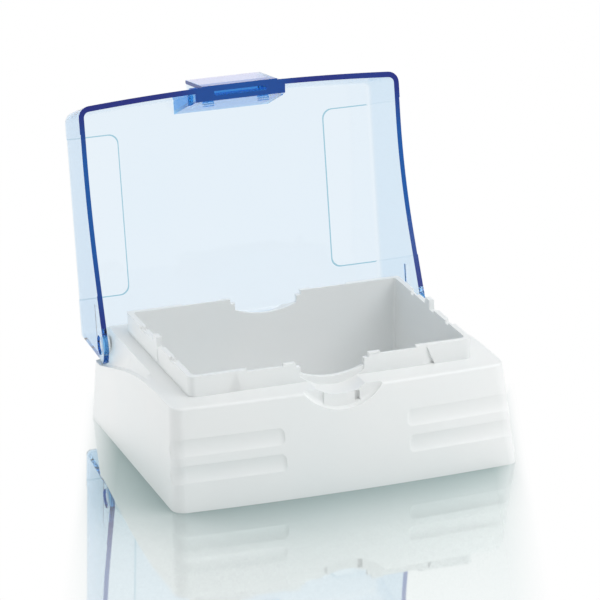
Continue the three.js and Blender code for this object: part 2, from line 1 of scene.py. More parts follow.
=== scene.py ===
# %% [markdown]
# # A reusable box for pipette tips
#
# The real box is two mouldings. The base is white polypropylene: a hollow shell with a deep well, and
# a thin wall round the well that a tray of tips stands on. The lid is clear blue plastic and turns on
# two stubs of the base. We load the solid model first, because every piece has to fit the same frame.
# %% Load the solid model
import json
import math

import bmesh
import bpy
import numpy as np
from mathutils import Matrix, Vector
from mathutils.bvhtree import BVHTree


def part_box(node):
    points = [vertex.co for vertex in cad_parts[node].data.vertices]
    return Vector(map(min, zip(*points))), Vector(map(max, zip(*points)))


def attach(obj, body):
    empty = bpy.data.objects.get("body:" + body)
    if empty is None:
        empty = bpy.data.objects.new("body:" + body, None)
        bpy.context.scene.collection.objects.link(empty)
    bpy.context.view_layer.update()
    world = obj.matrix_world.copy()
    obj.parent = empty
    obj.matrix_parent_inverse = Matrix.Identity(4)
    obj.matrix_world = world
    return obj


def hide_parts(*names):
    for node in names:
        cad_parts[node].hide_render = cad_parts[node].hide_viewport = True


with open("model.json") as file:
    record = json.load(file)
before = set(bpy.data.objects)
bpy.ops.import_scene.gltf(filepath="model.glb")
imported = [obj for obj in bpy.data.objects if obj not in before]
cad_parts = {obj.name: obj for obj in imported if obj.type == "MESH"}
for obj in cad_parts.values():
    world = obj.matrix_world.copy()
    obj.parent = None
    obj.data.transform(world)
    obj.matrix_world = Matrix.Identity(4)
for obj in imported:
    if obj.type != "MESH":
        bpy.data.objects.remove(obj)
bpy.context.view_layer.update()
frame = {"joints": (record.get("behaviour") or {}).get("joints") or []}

# %% [markdown]
# ## Sizes
#
# Everything below is drawn in millimetres and turned into metres when a mesh is made. The lid is drawn
# shut, in the place where it meets the base, and is turned open about the hinge at the end, because
# the shut box is the shape that the two mouldings share.
# %% Sizes of the shut box
MM = 0.001
HINGE = frame["joints"][0]
HINGE_Y = HINGE["pos_m"][1] / MM
HINGE_Z = HINGE["pos_m"][2] / MM
OPEN_ANGLE = HINGE["range_deg"][1]

FOOT_HALF_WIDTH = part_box("base")[1][0] / MM
FOOT_FRONT = -56.75
FOOT_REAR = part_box("base")[1][1] / MM
BASE_HEIGHT = 40.0
SIDE_LEAN = 0.065
FRONT_LEAN = 0.212
REAR_LEAN = 0.088
FRONT_BOW = 2.6
SHELL_WALL = 2.2
EAR_RADIUS = 7.8
LID_TOP = 71.0
LID_WALL = 2.2
LID_SIDE_LEAN = 0.053
LID_REAR_LEAN = 0.11
CLOSING_GAP = 0.3
SIDE_SEAM = 0.6
RIM_SLOPE = 0.27
RIM_BLEND = 50.0
RIM_Z = BASE_HEIGHT + CLOSING_GAP
BEYOND = 130.0  # outside the box on every side, where a cutting solid ends
PAST_SIDE = FOOT_HALF_WIDTH + 5.0  # the same, for one that only has to pass the sides
OVERLAP = 1.0  # of a cutting or joined solid past the face that it works on
HAIR = 0.01  # keeps a cutting face off the face beside it
print("hinge at y", round(HINGE_Y, 2), "z", round(HINGE_Z, 2), "open", OPEN_ANGLE, "degrees")


# %% Faces of the shut box at a height
def half_width_at(z):
    return FOOT_HALF_WIDTH - SIDE_LEAN * min(z, BASE_HEIGHT) - LID_SIDE_LEAN * max(z - BASE_HEIGHT, 0)


def front_at(z):
    return FOOT_FRONT + FRONT_LEAN * z


def base_rear_at(z):
    return FOOT_REAR - REAR_LEAN * z


def lid_rear_at(z):
    return HINGE_Y + EAR_RADIUS - LID_REAR_LEAN * (z - HINGE_Z)


EAR_SIDE_GAP = 0.45
INSET_X = half_width_at(HINGE_Z) - LID_WALL - EAR_SIDE_GAP
RIM_Y = front_at(RIM_Z) - FRONT_BOW
print("deck is", round(2 * half_width_at(BASE_HEIGHT), 1), "mm wide; front rim at y", round(RIM_Y, 2))

# %% [markdown]
# ## Tools for thin walled mouldings
#
# A moulding is easiest to draw as a loft: level rings with the same number of points, joined by bands
# of faces. Walls, wells and notches are then one loft taken from another, which is what a boolean
# does. The manifold solver is exact enough for closed lofts, and it keeps the material of each face,
# so a cut can leave its own finish behind.


# %% Make a mesh from points
def mesh_object(name, points, faces):
    mesh = bpy.data.meshes.new(name)
    mesh.from_pydata([tuple(point) for point in np.asarray(points, float) * MM], [], faces)
    obj = bpy.data.objects.new(name, mesh)
    bpy.context.scene.collection.objects.link(obj)
    turn_outward(mesh)
    return obj


def turn_outward(mesh):
    work = bmesh.new()
    work.from_mesh(mesh)
    bmesh.ops.recalc_face_normals(work, faces=work.faces)
    work.to_mesh(mesh)
    work.free()


# %% Loft and straight runs
def loft(name, rings):
    count = len(rings[0])
    faces = []
    for level in range(len(rings) - 1):
        for i in range(count):
            a = level * count + i
            b = level * count + (i + 1) % count
            faces.append((a, b, b + count, a + count))
    last = (len(rings) - 1) * count
    faces.append(tuple(reversed(range(count))))
    faces.append(tuple(range(last, last + count)))
    return mesh_object(name, np.concatenate([np.asarray(ring) for ring in rings]), faces)


def along_x(name, outline, x0, x1):
    """Outline in (y, z), run from x0 to x1."""
    return loft(name, [[(x, y, z) for y, z in outline] for x in (x0, x1)])


def block(name, x0, x1, y0, y1, z0, z1):
    return along_x(name, [(y0, z0), (y1, z0), (y1, z1), (y0, z1)], x0, x1)


# %% Join and cut
def settle(obj):
    """Replaces the mesh by what its modifiers make of it."""
    evaluated = obj.evaluated_get(bpy.context.evaluated_depsgraph_get())
    mesh = bpy.data.meshes.new_from_object(evaluated)
    obj.modifiers.clear()
    old = obj.data
    obj.data = mesh
    bpy.data.meshes.remove(old)


def combine(body, tools, operation):
    for tool in tools:
        modifier = body.modifiers.new("combine", "BOOLEAN")
        modifier.solver = "MANIFOLD"
        modifier.operation = operation
        modifier.object = tool
        settle(body)
        bpy.data.objects.remove(tool)
    return body


def cut(body, *tools):
    return combine(body, tools, "DIFFERENCE")


def join(body, *tools):
    return combine(body, tools, "UNION")


def keep(body, *tools):
    return combine(body, tools, "INTERSECT")


def both_sides(make, x0, x1):
    return [make(x0, x1), make(-x1, -x0)]


# %% Level ring of a rounded oblong with a bowed front
CORNER_STEPS = 8
REAR_CORNER_STEPS = 5


def quarter_turn(steps):
    return np.linspace(0, math.pi / 2, steps + 1)


def ring(half_width, front, rear, z, corner, rear_corner, bow=0.0, front_steps=24):
    points = []

    def turn(side, y, radius, start, steps):
        for angle in np.radians(start + np.linspace(0, 90, steps + 1)):
            x = side * (half_width - radius) + radius * math.cos(angle)
            points.append((x, y + radius * math.sin(angle)))

    turn(-1, front + corner, corner, 180, CORNER_STEPS)
    straight = half_width - corner
    for share in np.linspace(-1, 1, front_steps + 1)[1:-1]:
        points.append((straight * share, front))
    turn(1, front + corner, corner, 270, CORNER_STEPS)
    turn(1, rear - rear_corner, rear_corner, 0, REAR_CORNER_STEPS)
    turn(-1, rear - rear_corner, rear_corner, 90, REAR_CORNER_STEPS)
    reach = rear - front
    bowed = []
    for x, y in points:
        share = max((rear - y) / reach, 0)
        bowed.append((x, y - bow * share * max(1 - (x / half_width) ** 2, 0), z))
    return bowed


def rim_line(gap, steps=24, turn_steps=6):
    """Points (y, z) of the lid's side rim, from the front to under the hinge, lowered by a gap."""
    radius = EAR_RADIUS + gap
    angle = math.atan(RIM_SLOPE)
    touch_y = HINGE_Y - radius * math.sin(angle)
    touch_z = HINGE_Z - radius * math.cos(angle)
    level = RIM_Z - gap
    middle = touch_y - (level - touch_z) / RIM_SLOPE
    points = [(-BEYOND, level)]
    for run in np.linspace(0, RIM_BLEND, steps + 1):
        points.append((middle - RIM_BLEND / 2 + run, level - RIM_SLOPE * run * run / (2 * RIM_BLEND)))
    for turn in np.linspace(angle, 0, turn_steps + 1):
        points.append((HINGE_Y - radius * math.sin(turn), HINGE_Z - radius * math.cos(turn)))
    return points


def hinge_round(name, radius, x0, x1, steps=64):
    angles = np.linspace(0, 2 * math.pi, steps, endpoint=False)
    outline = [(HINGE_Y + radius * math.cos(a), HINGE_Z + radius * math.sin(a)) for a in angles]
    return along_x(name, outline, x0, x1)


# %% [markdown]
# ## Base shell
#
# The shell leans in on all sides, so that it leaves its mould, and the front is bowed. Its upper edge
# is rounded over. We loft the outside, then the hollow below the deck, and the well is added and
# emptied in the same way.
# %% Base shell and well
SHELL_CORNER = 5.0
SHELL_LEAST_CORNER = 1.0  # inside the shell, where the wall's thickness comes off the corner
REAR_CORNER = 1.6
LEAST_REAR_CORNER = 0.5
DECK_EDGE = 1.1
SEAT_HALF_WIDTH = 59.2
SEAT_FRONT = -38.75
SEAT_REAR = 44.7
SEAT_RISE = 8.4
SEAT_WALL = 2.3
SEAT_CORNER = 3.0
SEAT_REAR_CORNER = 1.2
WELL_CORNER = 2.0
SEAT_TOP = BASE_HEIGHT + SEAT_RISE
WELL_DRAFT = 1.1
FLOOR = 2.4
SHOULDER_RUN = 2.3


def shell_ring(z, inset):
    return ring(
        half_width_at(z) - inset,
        front_at(z) + inset,
        base_rear_at(z) - inset,
        z,
        max(SHELL_CORNER - inset, SHELL_LEAST_CORNER),
        max(REAR_CORNER - inset, LEAST_REAR_CORNER),
        FRONT_BOW,
    )


def well_ring(z, inset, corner):
    fall = WELL_DRAFT * max((SEAT_TOP - z) / SEAT_TOP, 0)
    return ring(
        SEAT_HALF_WIDTH - inset - fall,
        SEAT_FRONT + inset + fall,
        SEAT_REAR - inset - fall,
        z,
        corner,
        SEAT_REAR_CORNER,
        front_steps=2,
    )


def shell_outside():
    rings = [shell_ring(0, 0)]
    for angle in quarter_turn(steps=6):
        inset = DECK_EDGE * (1 - math.cos(angle))
        rings.append(shell_ring(BASE_HEIGHT - DECK_EDGE * (1 - math.sin(angle)), inset))
    return loft("base_shell", rings)


def well_outside():
    return loft("well_outside", [well_ring(0, 0, SEAT_CORNER), well_ring(SEAT_TOP, 0, SEAT_CORNER)])


def well_inside():
    levels = (FLOOR, SEAT_TOP, SEAT_TOP + BEYOND)
    return loft("well_inside", [well_ring(z, SEAT_WALL, WELL_CORNER) for z in levels])


# %% [markdown]
# ## Shoulders
#
# At each side the base steps in, so that the lid's side wall stands beside it and both make one smooth
# side when the box is shut. The step follows the lid's rim line with a narrow gap. Drawn as two
# separate curves they would drift apart, so the cutter is lofted along the very line that cuts the lid.
# %% Shoulders where the lid's sides come down
ABOVE_DECK = BASE_HEIGHT + 5.0


def step_outline(step_x, drop):
    """Section of a step whose upright stands at step_x, with all its levels lowered by drop."""
    slope_x = step_x - SHOULDER_RUN
    deck = BASE_HEIGHT - drop if drop else BASE_HEIGHT + HAIR  # a cut ends clear of the deck itself

    def outline(z):
        upright = [(PAST_SIDE, z - drop), (step_x, z - drop), (slope_x, deck)]
        return [*upright, (slope_x, ABOVE_DECK), (PAST_SIDE, ABOVE_DECK)]

    return outline


def shoulder(name, side, outline):
    """Loft along the rim line; outline gives (x, z) points for each place on it."""
    line = rim_line(SIDE_SEAM)
    path = [*line, (BEYOND, line[-1][1])]
    return loft(name, [[(side * x, y, height) for x, height in outline(z)] for y, z in path])


def shoulder_cut(side):
    return shoulder("shoulder_cut", side, step_outline(INSET_X, 0))


def shoulder_lining(side):
    return shoulder("shoulder_lining", side, step_outline(INSET_X - SHELL_WALL, SHELL_WALL))


# %% [markdown]
# ## Finger notches
#
# At the front and the rear the seat's wall dips in a shallow arc, so that fingers reach the tray. Before
# the arc lies a rounder shelf, and the outer wall has a round scoop with an upright face behind it.
# Each of these is a trough: an arc that runs along Y and is open at the top, so one helper that draws
# the arc at a place serves them all, cutters and linings alike.
# %% Troughs for the finger notches
NOTCH_HALF_WIDTH = 15.2
NOTCH_RADIUS = 33.5
NOTCH_RISE = 0.8
NOTCH_SHOULDER = 1.9
LIP_RECESS = 0.6
SHELF_RADIUS = 20.5
SHELF_DROP = 2.7
SCOOP_RADIUS = 21.0
SCOOP_DROP = 8.2
SCOOP_DEPTH = 2.1
SCOOP_ROUND = 2.0
SCOOP_STEPS = 6


def trough_ring(y, radius, lowest, half_width, top, steps=40):
    rise = min((top - OVERLAP / 2 - lowest) / radius, 1)
    half = min(math.asin(min(half_width / radius, 1)), math.acos(1 - rise))
    angles = np.linspace(-half, half, steps + 1)
    points = [(radius * math.sin(a), y, lowest + radius * (1 - math.cos(a))) for a in angles]
    edge = radius * math.sin(half)
    return [*points, (edge, y, top), (-edge, y, top)]


def finger_notch(direction, wall_face, outer_face):
    """direction is -1 at the front and 1 at the rear."""
    top = SEAT_TOP + BEYOND
    half = NOTCH_HALF_WIDTH - NOTCH_SHOULDER
    lip = wall_face - direction * LIP_RECESS
    inner = wall_face - direction * (SEAT_WALL + OVERLAP)
    face = outer_face - direction * SCOOP_DEPTH
    notch = (NOTCH_RADIUS, BASE_HEIGHT + NOTCH_RISE, half, top)
    shelf = (SHELF_RADIUS, BASE_HEIGHT - SHELF_DROP, half, top)
    stations = [(inner, notch), (lip, notch), (lip, shelf), (face, shelf)]
    opening = loft("notch", [trough_ring(y, *size) for y, size in stations])
    rings = []
    for away in [*np.linspace(0, SCOOP_ROUND, SCOOP_STEPS + 1), SCOOP_DEPTH + FRONT_BOW * 2]:
        left = SCOOP_ROUND - min(away, SCOOP_ROUND)
        smaller = SCOOP_ROUND - math.sqrt(SCOOP_ROUND**2 - left**2)
        scoop = (SCOOP_RADIUS - smaller, BASE_HEIGHT - SCOOP_DROP + smaller, SCOOP_RADIUS, top)
        rings.append(trough_ring(face + direction * away, *scoop))
    gap = loft("scoop", rings)
    near, far = sorted((inner, wall_face + direction * OVERLAP))
    wide = NOTCH_HALF_WIDTH
    step = block("notch_step", -wide, wide, near, far, SEAT_TOP - NOTCH_SHOULDER, top)
    return [opening, gap, step]


# %% Walls under the notches
def notch_lining(direction, wall_face, outer_face):
    top = BASE_HEIGHT - SHELL_WALL / 2
    face = outer_face - direction * SCOOP_DEPTH

    def lined(y, radius, drop):
        outer = radius + SHELL_WALL
        return trough_ring(y, outer, BASE_HEIGHT - drop - SHELL_WALL, outer, top)

    lip = wall_face - direction * LIP_RECESS
    under_shelf = loft("under_shelf", [lined(y, SHELF_RADIUS, SHELF_DROP) for y in (lip, face)])
    back = face - direction * SHELL_WALL
    behind_scoop = loft("behind_scoop", [lined(y, SCOOP_RADIUS, SCOOP_DROP) for y in (back, outer_face)])
    return [under_shelf, behind_scoop]


# %% Catch block in the front scoop
CATCH_HALF_WIDTH = 7.6
CATCH_PROUD = 0.8
CATCH_POCKET = (2.4, 2.4, 4.2)  # width, depth, height
CATCH_POCKET_FLOOR = 0.9


def catch_block(outer_face):
    back = outer_face + SCOOP_DEPTH
    face = back - CATCH_PROUD
    half = CATCH_HALF_WIDTH
    foot = BASE_HEIGHT - SCOOP_DROP - OVERLAP
    body = block("catch", -half, half, face, back + SHELL_WALL / 2, foot, BASE_HEIGHT)
    shelf = (SHELF_RADIUS, BASE_HEIGHT - SHELF_DROP, half + OVERLAP, SEAT_TOP + BEYOND)
    above = loft("above", [trough_ring(face - OVERLAP, *shelf), trough_ring(back + SHELL_WALL, *shelf)])
    width, depth, height = CATCH_POCKET
    top = BASE_HEIGHT - SHELF_DROP - CATCH_POCKET_FLOOR + half**2 / (2 * SHELF_RADIUS)
    pocket = block("pocket", half - width, half + HAIR, face - OVERLAP, face + depth, top - height, top)
    return cut(body, above), pocket


# %% [markdown]
# ## Rim of the seat
#
# The tray is keyed to the seat by small posts and low places in the wall. They are plain blocks added
# to the wall or taken from it, the same on the left and on the right.
# %% Rim of the seat
RIM_DROP = 0.8
RIM_DROP_REACH = 35.3
RIM_THIN = 1.4
NUB = (5.0, 1.8, 0.9, 0.2)  # length, thickness, rise, setback
POST_Y = 3.2
POST = (4.6, 2.7)  # length, rise
LOW_PLACE_SPACING = 19.5
LOW_PLACE = (7.0, 3.0, 1.1)  # length, length of its throat, depth
POST_NOTCH = 4.9
REAR_LOW_PLACE = (20.0, 35.5, 0.8)  # inner end, outer end, depth
SLIT = (0.6, 1.0, 0.6)  # width, depth, foot above the deck


def mirrored_blocks(name, x0, x1, y0, y1, z0, z1):
    return both_sides(lambda a, b: block(name, a, b, y0, y1, z0, z1), x0, x1)


def rim_cuts():
    over = SEAT_TOP + BEYOND
    reach = RIM_DROP_REACH
    inner_y = SEAT_FRONT + SEAT_WALL + OVERLAP
    middle = SEAT_HALF_WIDTH - SEAT_WALL / 2
    outer = SEAT_HALF_WIDTH + OVERLAP
    inner = SEAT_HALF_WIDTH - SEAT_WALL - OVERLAP
    length, throat, depth = LOW_PLACE
    low = SEAT_TOP - depth
    middle_top = SEAT_TOP - RIM_DROP
    cuts = [
        block("rim_drop", -reach, reach, SEAT_FRONT - OVERLAP, inner_y, middle_top, over),
        block("rim_thin", -reach, reach, SEAT_FRONT + RIM_THIN, inner_y, middle_top - RIM_DROP, over),
    ]
    for y in (POST_Y + LOW_PLACE_SPACING, POST_Y - LOW_PLACE_SPACING):
        place, narrow = (y - length / 2, y + length / 2), (y - throat / 2, y + throat / 2)
        cuts += mirrored_blocks("low_place", middle, outer, *place, low, over)
        cuts += mirrored_blocks("low_throat", inner, middle + HAIR, *narrow, low, over)
    cuts += mirrored_blocks("post_notch", inner, outer, POST_Y - POST_NOTCH, POST_Y, low, over)
    rear_inner, rear_outer, rear_depth = REAR_LOW_PLACE
    rear = SEAT_REAR - SEAT_WALL / 2
    return cuts + mirrored_blocks(
        "rear_low_place", rear_inner, rear_outer, rear, SEAT_REAR + OVERLAP, SEAT_TOP - rear_depth, over
    )


# %% Nubs, posts and slits
def nubs_and_posts():
    length, thickness, rise, setback = NUB
    rear = SEAT_FRONT + SEAT_WALL - setback
    top = SEAT_TOP - RIM_DROP
    start = NOTCH_HALF_WIDTH
    foot = top - RIM_DROP - OVERLAP
    nubs = mirrored_blocks("nub", start, start + length, rear - thickness, rear, foot, top + rise)
    inner = SEAT_HALF_WIDTH - SEAT_WALL
    post_foot = SEAT_TOP - LOW_PLACE[2] - OVERLAP
    post = (POST_Y, POST_Y + POST[0], post_foot, SEAT_TOP + POST[1])
    return nubs + mirrored_blocks("post", inner, SEAT_HALF_WIDTH, *post)


def slits():
    width, depth, foot = SLIT
    outer = SEAT_HALF_WIDTH + OVERLAP
    run = (POST_Y - width, POST_Y, BASE_HEIGHT + foot, SEAT_TOP + BEYOND)
    return mirrored_blocks("slit", SEAT_HALF_WIDTH - depth, outer, *run)


# %% [markdown]
# ## Node trees
#
# Some of the box is made by geometry nodes and all of its finishes by shader nodes, and both are built
# in script here. A few helpers keep that short: they find an input by its name, set it to a number or
# link it to another node, and write a sum as one node.
# %% Helpers for node trees
def fill(tree, socket, value):
    if hasattr(value, "links"):
        tree.links.new(value, socket)
    else:
        socket.default_value = value


def fill_in(tree, node, **inputs):
    for label, value in inputs.items():
        fill(tree, node.inputs[label.replace("_", " ")], value)
    return node


def new_node(tree, kind, **inputs):
    return fill_in(tree, tree.nodes.new(kind), **inputs)


def in_tree(tree, operation, *values):
    """One sum in a node tree; a value is a number or another node's output."""
    node = tree.nodes.new("ShaderNodeMath")
    node.operation = operation
    for socket, value in zip(node.inputs, values):
        fill(tree, socket, value)
    return node.outputs[0]


# %% [markdown]
# ## Finger grips
#
# Two shallow bands on each side of the front follow the bow and the lean of the wall and run round the
# corner. Each is the trace of a long round rod that is sunk a little into the wall and comes out of it
# at its inner end. Four lofts would do, but a form that a rule bends is a job for geometry nodes: a
# circle is swept along a straight line, and then each slice of the rod moves back as the wall does.
# Bending the line first would turn the slices too, and at the tight corner they would cross.
# %% Sizes of a finger grip
GRIP_HEIGHTS = (26.6, 16.5)
GRIP_HEIGHT = 5.8
GRIP_DEPTH = 0.42
GRIP_INNER = 25.5
GRIP_RUNOUT = 1.6
GRIP_SLICES = 140
GRIP_ROUND_STEPS = 96
CORNER_SHARE = 0.98  # of the corner that the rod follows; its last bit would turn too far back
RUNOUT_RISE = 1.05  # times the depth, so that the rod's end leaves the wall
print("grips at heights", GRIP_HEIGHTS, "mm")


# %% Rule that bends the rod
PLACES = ("Side", "Height", "Inner End", "Outer End", "Half Width", "Front", "Bow", "Corner")
GRIP_INPUTS = (*PLACES, "Depth", "Run Out", "Rod Radius")


def rod_shift(tree, given, x):
    """How far each slice of the straight rod moves: the bow, the corner and the rod's own radius."""
    corner = given["Corner"]
    share = in_tree(tree, "DIVIDE", x, given["Half Width"])
    flatter = in_tree(tree, "SUBTRACT", 1, in_tree(tree, "POWER", share, 2))
    bowed = in_tree(tree, "MULTIPLY", given["Bow"], flatter)
    start = in_tree(tree, "SUBTRACT", given["Half Width"], corner)
    past = in_tree(tree, "MAXIMUM", in_tree(tree, "SUBTRACT", x, start), 0)
    past = in_tree(tree, "MINIMUM", past, in_tree(tree, "MULTIPLY", corner, CORNER_SHARE))
    square = in_tree(tree, "POWER", corner, 2)
    left = in_tree(tree, "SUBTRACT", square, in_tree(tree, "POWER", past, 2))
    turn = in_tree(tree, "SUBTRACT", corner, in_tree(tree, "SQRT", left))
    sunk = in_tree(tree, "SUBTRACT", given["Depth"], given["Rod Radius"])
    front = in_tree(tree, "SUBTRACT", given["Front"], bowed)
    y = in_tree(tree, "ADD", front, in_tree(tree, "ADD", turn, sunk))
    mirrored = in_tree(tree, "MULTIPLY", x, in_tree(tree, "SUBTRACT", given["Side"], 1))
    return new_node(tree, "ShaderNodeCombineXYZ", X=mirrored, Y=y, Z=given["Height"]).outputs[0]


# %% Rod swept along a line
def finger_grip_tree():
    tree = bpy.data.node_groups.new("finger_grip", "GeometryNodeTree")
    for label in GRIP_INPUTS:
        tree.interface.new_socket(label, in_out="INPUT", socket_type="NodeSocketFloat")
    tree.interface.new_socket("Finish", in_out="INPUT", socket_type="NodeSocketMaterial")
    tree.interface.new_socket("Rod", in_out="OUTPUT", socket_type="NodeSocketGeometry")
    given = tree.nodes.new("NodeGroupInput").outputs
    start = new_node(tree, "ShaderNodeCombineXYZ", X=given["Inner End"]).outputs[0]
    end = new_node(tree, "ShaderNodeCombineXYZ", X=given["Outer End"]).outputs[0]
    line = tree.nodes.new("GeometryNodeMeshLine")
    line.mode = "END_POINTS"
    fill_in(tree, line, Count=GRIP_SLICES, Start_Location=start, Offset=end)
    curve = new_node(tree, "GeometryNodeMeshToCurve", Mesh=line.outputs[0]).outputs[0]
    where = tree.nodes.new("GeometryNodeInputPosition").outputs[0]
    x = new_node(tree, "ShaderNodeSeparateXYZ", Vector=where).outputs["X"]
    run = in_tree(tree, "DIVIDE", in_tree(tree, "SUBTRACT", x, given["Inner End"]), given["Run Out"])
    left = in_tree(tree, "POWER", in_tree(tree, "SUBTRACT", 1, in_tree(tree, "MINIMUM", run, 1)), 2)
    lost = in_tree(tree, "MULTIPLY", in_tree(tree, "MULTIPLY", given["Depth"], RUNOUT_RISE), left)
    size = in_tree(tree, "SUBTRACT", 1, in_tree(tree, "DIVIDE", lost, given["Rod Radius"]))
    curve = new_node(tree, "GeometryNodeSetCurveRadius", Curve=curve, Radius=size).outputs[0]
    circle = new_node(tree, "GeometryNodeCurvePrimitiveCircle", Resolution=GRIP_ROUND_STEPS)
    fill_in(tree, circle, Radius=given["Rod Radius"])
    radius = tree.nodes.new("GeometryNodeInputRadius").outputs[0]
    rod = new_node(tree, "GeometryNodeCurveToMesh", Curve=curve, Profile_Curve=circle.outputs[0])
    fill_in(tree, rod, Scale=radius, Fill_Caps=True)
    shift = rod_shift(tree, given, x)
    bent = new_node(tree, "GeometryNodeSetPosition", Geometry=rod.outputs[0], Offset=shift)
    solid = new_node(tree, "GeometryNodeRealizeInstances", Geometry=bent.outputs[0]).outputs[0]
    done = new_node(tree, "GeometryNodeSetMaterial", Geometry=solid, Material=given["Finish"]).outputs[0]
    tree.links.new(done, tree.nodes.new("NodeGroupOutput").inputs[0])
    return tree


finger_grip = finger_grip_tree()
print("finger grip tree:", len(finger_grip.nodes), "nodes")


# %% One rod, as a plain mesh
def grip_cut(z, side):
    obj = mesh_object("grip", [(0, 0, 0)], [])
    rod = obj.modifiers.new("rod", "NODES")
    rod.node_group = finger_grip
    sizes = {
        "Height": z,
        "Inner End": GRIP_INNER,
        "Outer End": FOOT_HALF_WIDTH,
        "Half Width": half_width_at(z),
        "Front": front_at(z),
        "Bow": FRONT_BOW,
        "Corner": SHELL_CORNER,
        "Depth": GRIP_DEPTH,
        "Run Out": GRIP_RUNOUT,
        "Rod Radius": ((GRIP_HEIGHT / 2) ** 2 + GRIP_DEPTH**2) / (2 * GRIP_DEPTH),
    }
    for socket in finger_grip.interface.items_tree:
        if socket.in_out == "INPUT" and socket.name in sizes:
            rod[socket.identifier] = sizes[socket.name] * MM
        elif socket.name == "Side":
            rod[socket.identifier] = float(side)
    settle(obj)
    turn_outward(obj.data)
    return obj


# %% [markdown]
# ## Wedge hollows
#
# Two small wedges are hollowed out of the seat's front wall, where a tray's feet find their place. The
# back of each is a slanted facet, deeper at the outer end. So the two catch the light differently: the
# left one turns away from a lamp at the right and looks dark, and the right one looks bright.
# %% Wedge hollows in the seat's front wall
WEDGE_X = 39.8
WEDGE_HALF_WIDTH = 2.7
WEDGE_SHIFT = 0.5  # of the foot, outward from the tip
WEDGE_FOOT = BASE_HEIGHT + 0.05  # just clear of the deck, so that no sliver is left on it
WEDGE_DEPTH = (1.6, 0.2)  # at the outer end and at the inner end


def wedge_hollow(side):
    outer, inner = -WEDGE_HALF_WIDTH - WEDGE_SHIFT, WEDGE_HALF_WIDTH - WEDGE_SHIFT
    outline = [(outer, WEDGE_FOOT), (inner, WEDGE_FOOT), (0, SEAT_TOP - RIM_DROP)]
    front = [(side * (WEDGE_X - x), SEAT_FRONT - OVERLAP, z) for x, z in outline]
    back = []
    for x, z in outline:
        depth = float(np.interp(x, (outer, inner), WEDGE_DEPTH))
        back.append((side * (WEDGE_X - x), SEAT_FRONT + depth, z))
    return loft("wedge", [front, back])


# %% [markdown]
# ## The base, put together
#
# The order matters more than the cuts. The hollow under the deck is made first and loses the places
# where walls must stay, then the shell takes it away in one cut. The well is emptied late, so that
# nothing which is added before can close it again.
# %% Put the base together
EAR_HOLE = 8.2
STUB_CLEARANCE = 0.35
STUB_RECESS = 1.2


def make_base():
    front_face = front_at(BASE_HEIGHT) - FRONT_BOW
    rear_face = base_rear_at(BASE_HEIGHT)
    hollow = loft("hollow", [shell_ring(z, SHELL_WALL) for z in (-OVERLAP, BASE_HEIGHT - SHELL_WALL)])
    cut(hollow, well_outside(), shoulder_lining(1), shoulder_lining(-1))
    cut(hollow, *notch_lining(-1, SEAT_FRONT, front_face), *notch_lining(1, SEAT_REAR, rear_face))
    base = join(shell_outside(), well_outside())
    cut(base, hollow)
    cut(base, *finger_notch(-1, SEAT_FRONT, front_face), *finger_notch(1, SEAT_REAR, rear_face))
    catch, pocket = catch_block(front_face)
    cut(join(base, catch), pocket)
    cut(base, well_inside())
    cut(base, *rim_cuts())
    join(base, *nubs_and_posts())
    cut(base, *slits(), shoulder_cut(1), shoulder_cut(-1))
    cut(base, *[grip_cut(z, side) for z in GRIP_HEIGHTS for side in (1, -1)])
    cut(base, wedge_hollow(1), wedge_hollow(-1))
    stub_end = half_width_at(HINGE_Z) - STUB_RECESS
    stub_radius = EAR_HOLE / 2 - STUB_CLEARANCE
    stub_start = INSET_X - OVERLAP
    join(base, *both_sides(lambda a, b: hinge_round("stub", stub_radius, a, b), stub_start, stub_end))
    return base


base = make_base()
print("base before its edges are eased:", len(base.data.polygons), "faces")

# %% [markdown]
# ## Lid
#
# The lid is one loft less a smaller one. The side rims are cut along the same line as the base's
# shoulders. A cut hands the slots of the cutting solid's faces on to the faces it makes, so each
# cutter is marked before it is used. That is how the rim, the latch and the outlines of the panels
# are known later, when the finishes go on, without looking for their faces again.
# %% Slots that mark the lid's faces
SLOTS = CLEAR, RIM, STEP, LATCH, LATCH_SLOT, PLATE = range(6)


def marked(obj, slot, choose=None):
    """Puts the chosen faces in a slot; a cut hands its faces' slots on to what it cuts."""
    while len(obj.data.materials) < len(SLOTS):
        obj.data.materials.append(None)
    for face in obj.data.polygons:
        if choose is None or choose(face):
            face.material_index = slot
    return obj


# %% Lid shell
LID_TOP_RADIUS = 3.0
LID_LEAST_TOP_RADIUS = 0.6
LID_CORNER = 4.4
LID_LEAST_CORNER = 0.8
LID_REAR_CORNER = 2.0
LID_FOOT = HINGE_Z - EAR_RADIUS - OVERLAP
REAR_WALL_FOOT = 41.2
PANEL_INNER = 45.0
PANEL_FRONT = -31.0
PANEL_REAR = 37.4
PANEL_DEPTH = 0.22
PANEL_SLOPE = 0.5
PANEL_CORNER = 4.0
PANEL_LEAN = 0.22
PANEL_STEPS = 8
PANEL_PROUD = 5.0
SKIN_PROUD = 2.0


def lid_ring(z, inset):
    return ring(
        half_width_at(z) - inset,
        front_at(z) + inset,
        lid_rear_at(z) - inset,
        z,
        max(LID_CORNER - inset, LID_LEAST_CORNER),
        max(LID_REAR_CORNER - inset, LEAST_REAR_CORNER),
        FRONT_BOW,
    )


def lid_form(name, depth, foot):
    top = LID_TOP - depth
    radius = max(LID_TOP_RADIUS - depth, LID_LEAST_TOP_RADIUS)
    rings = [lid_ring(foot, depth), lid_ring(BASE_HEIGHT, depth)]
    for angle in quarter_turn(steps=4):
        z = top - radius * (1 - math.sin(angle))
        rings.append(lid_ring(z, depth + radius * (1 - math.cos(angle))))
    return loft(name, rings)


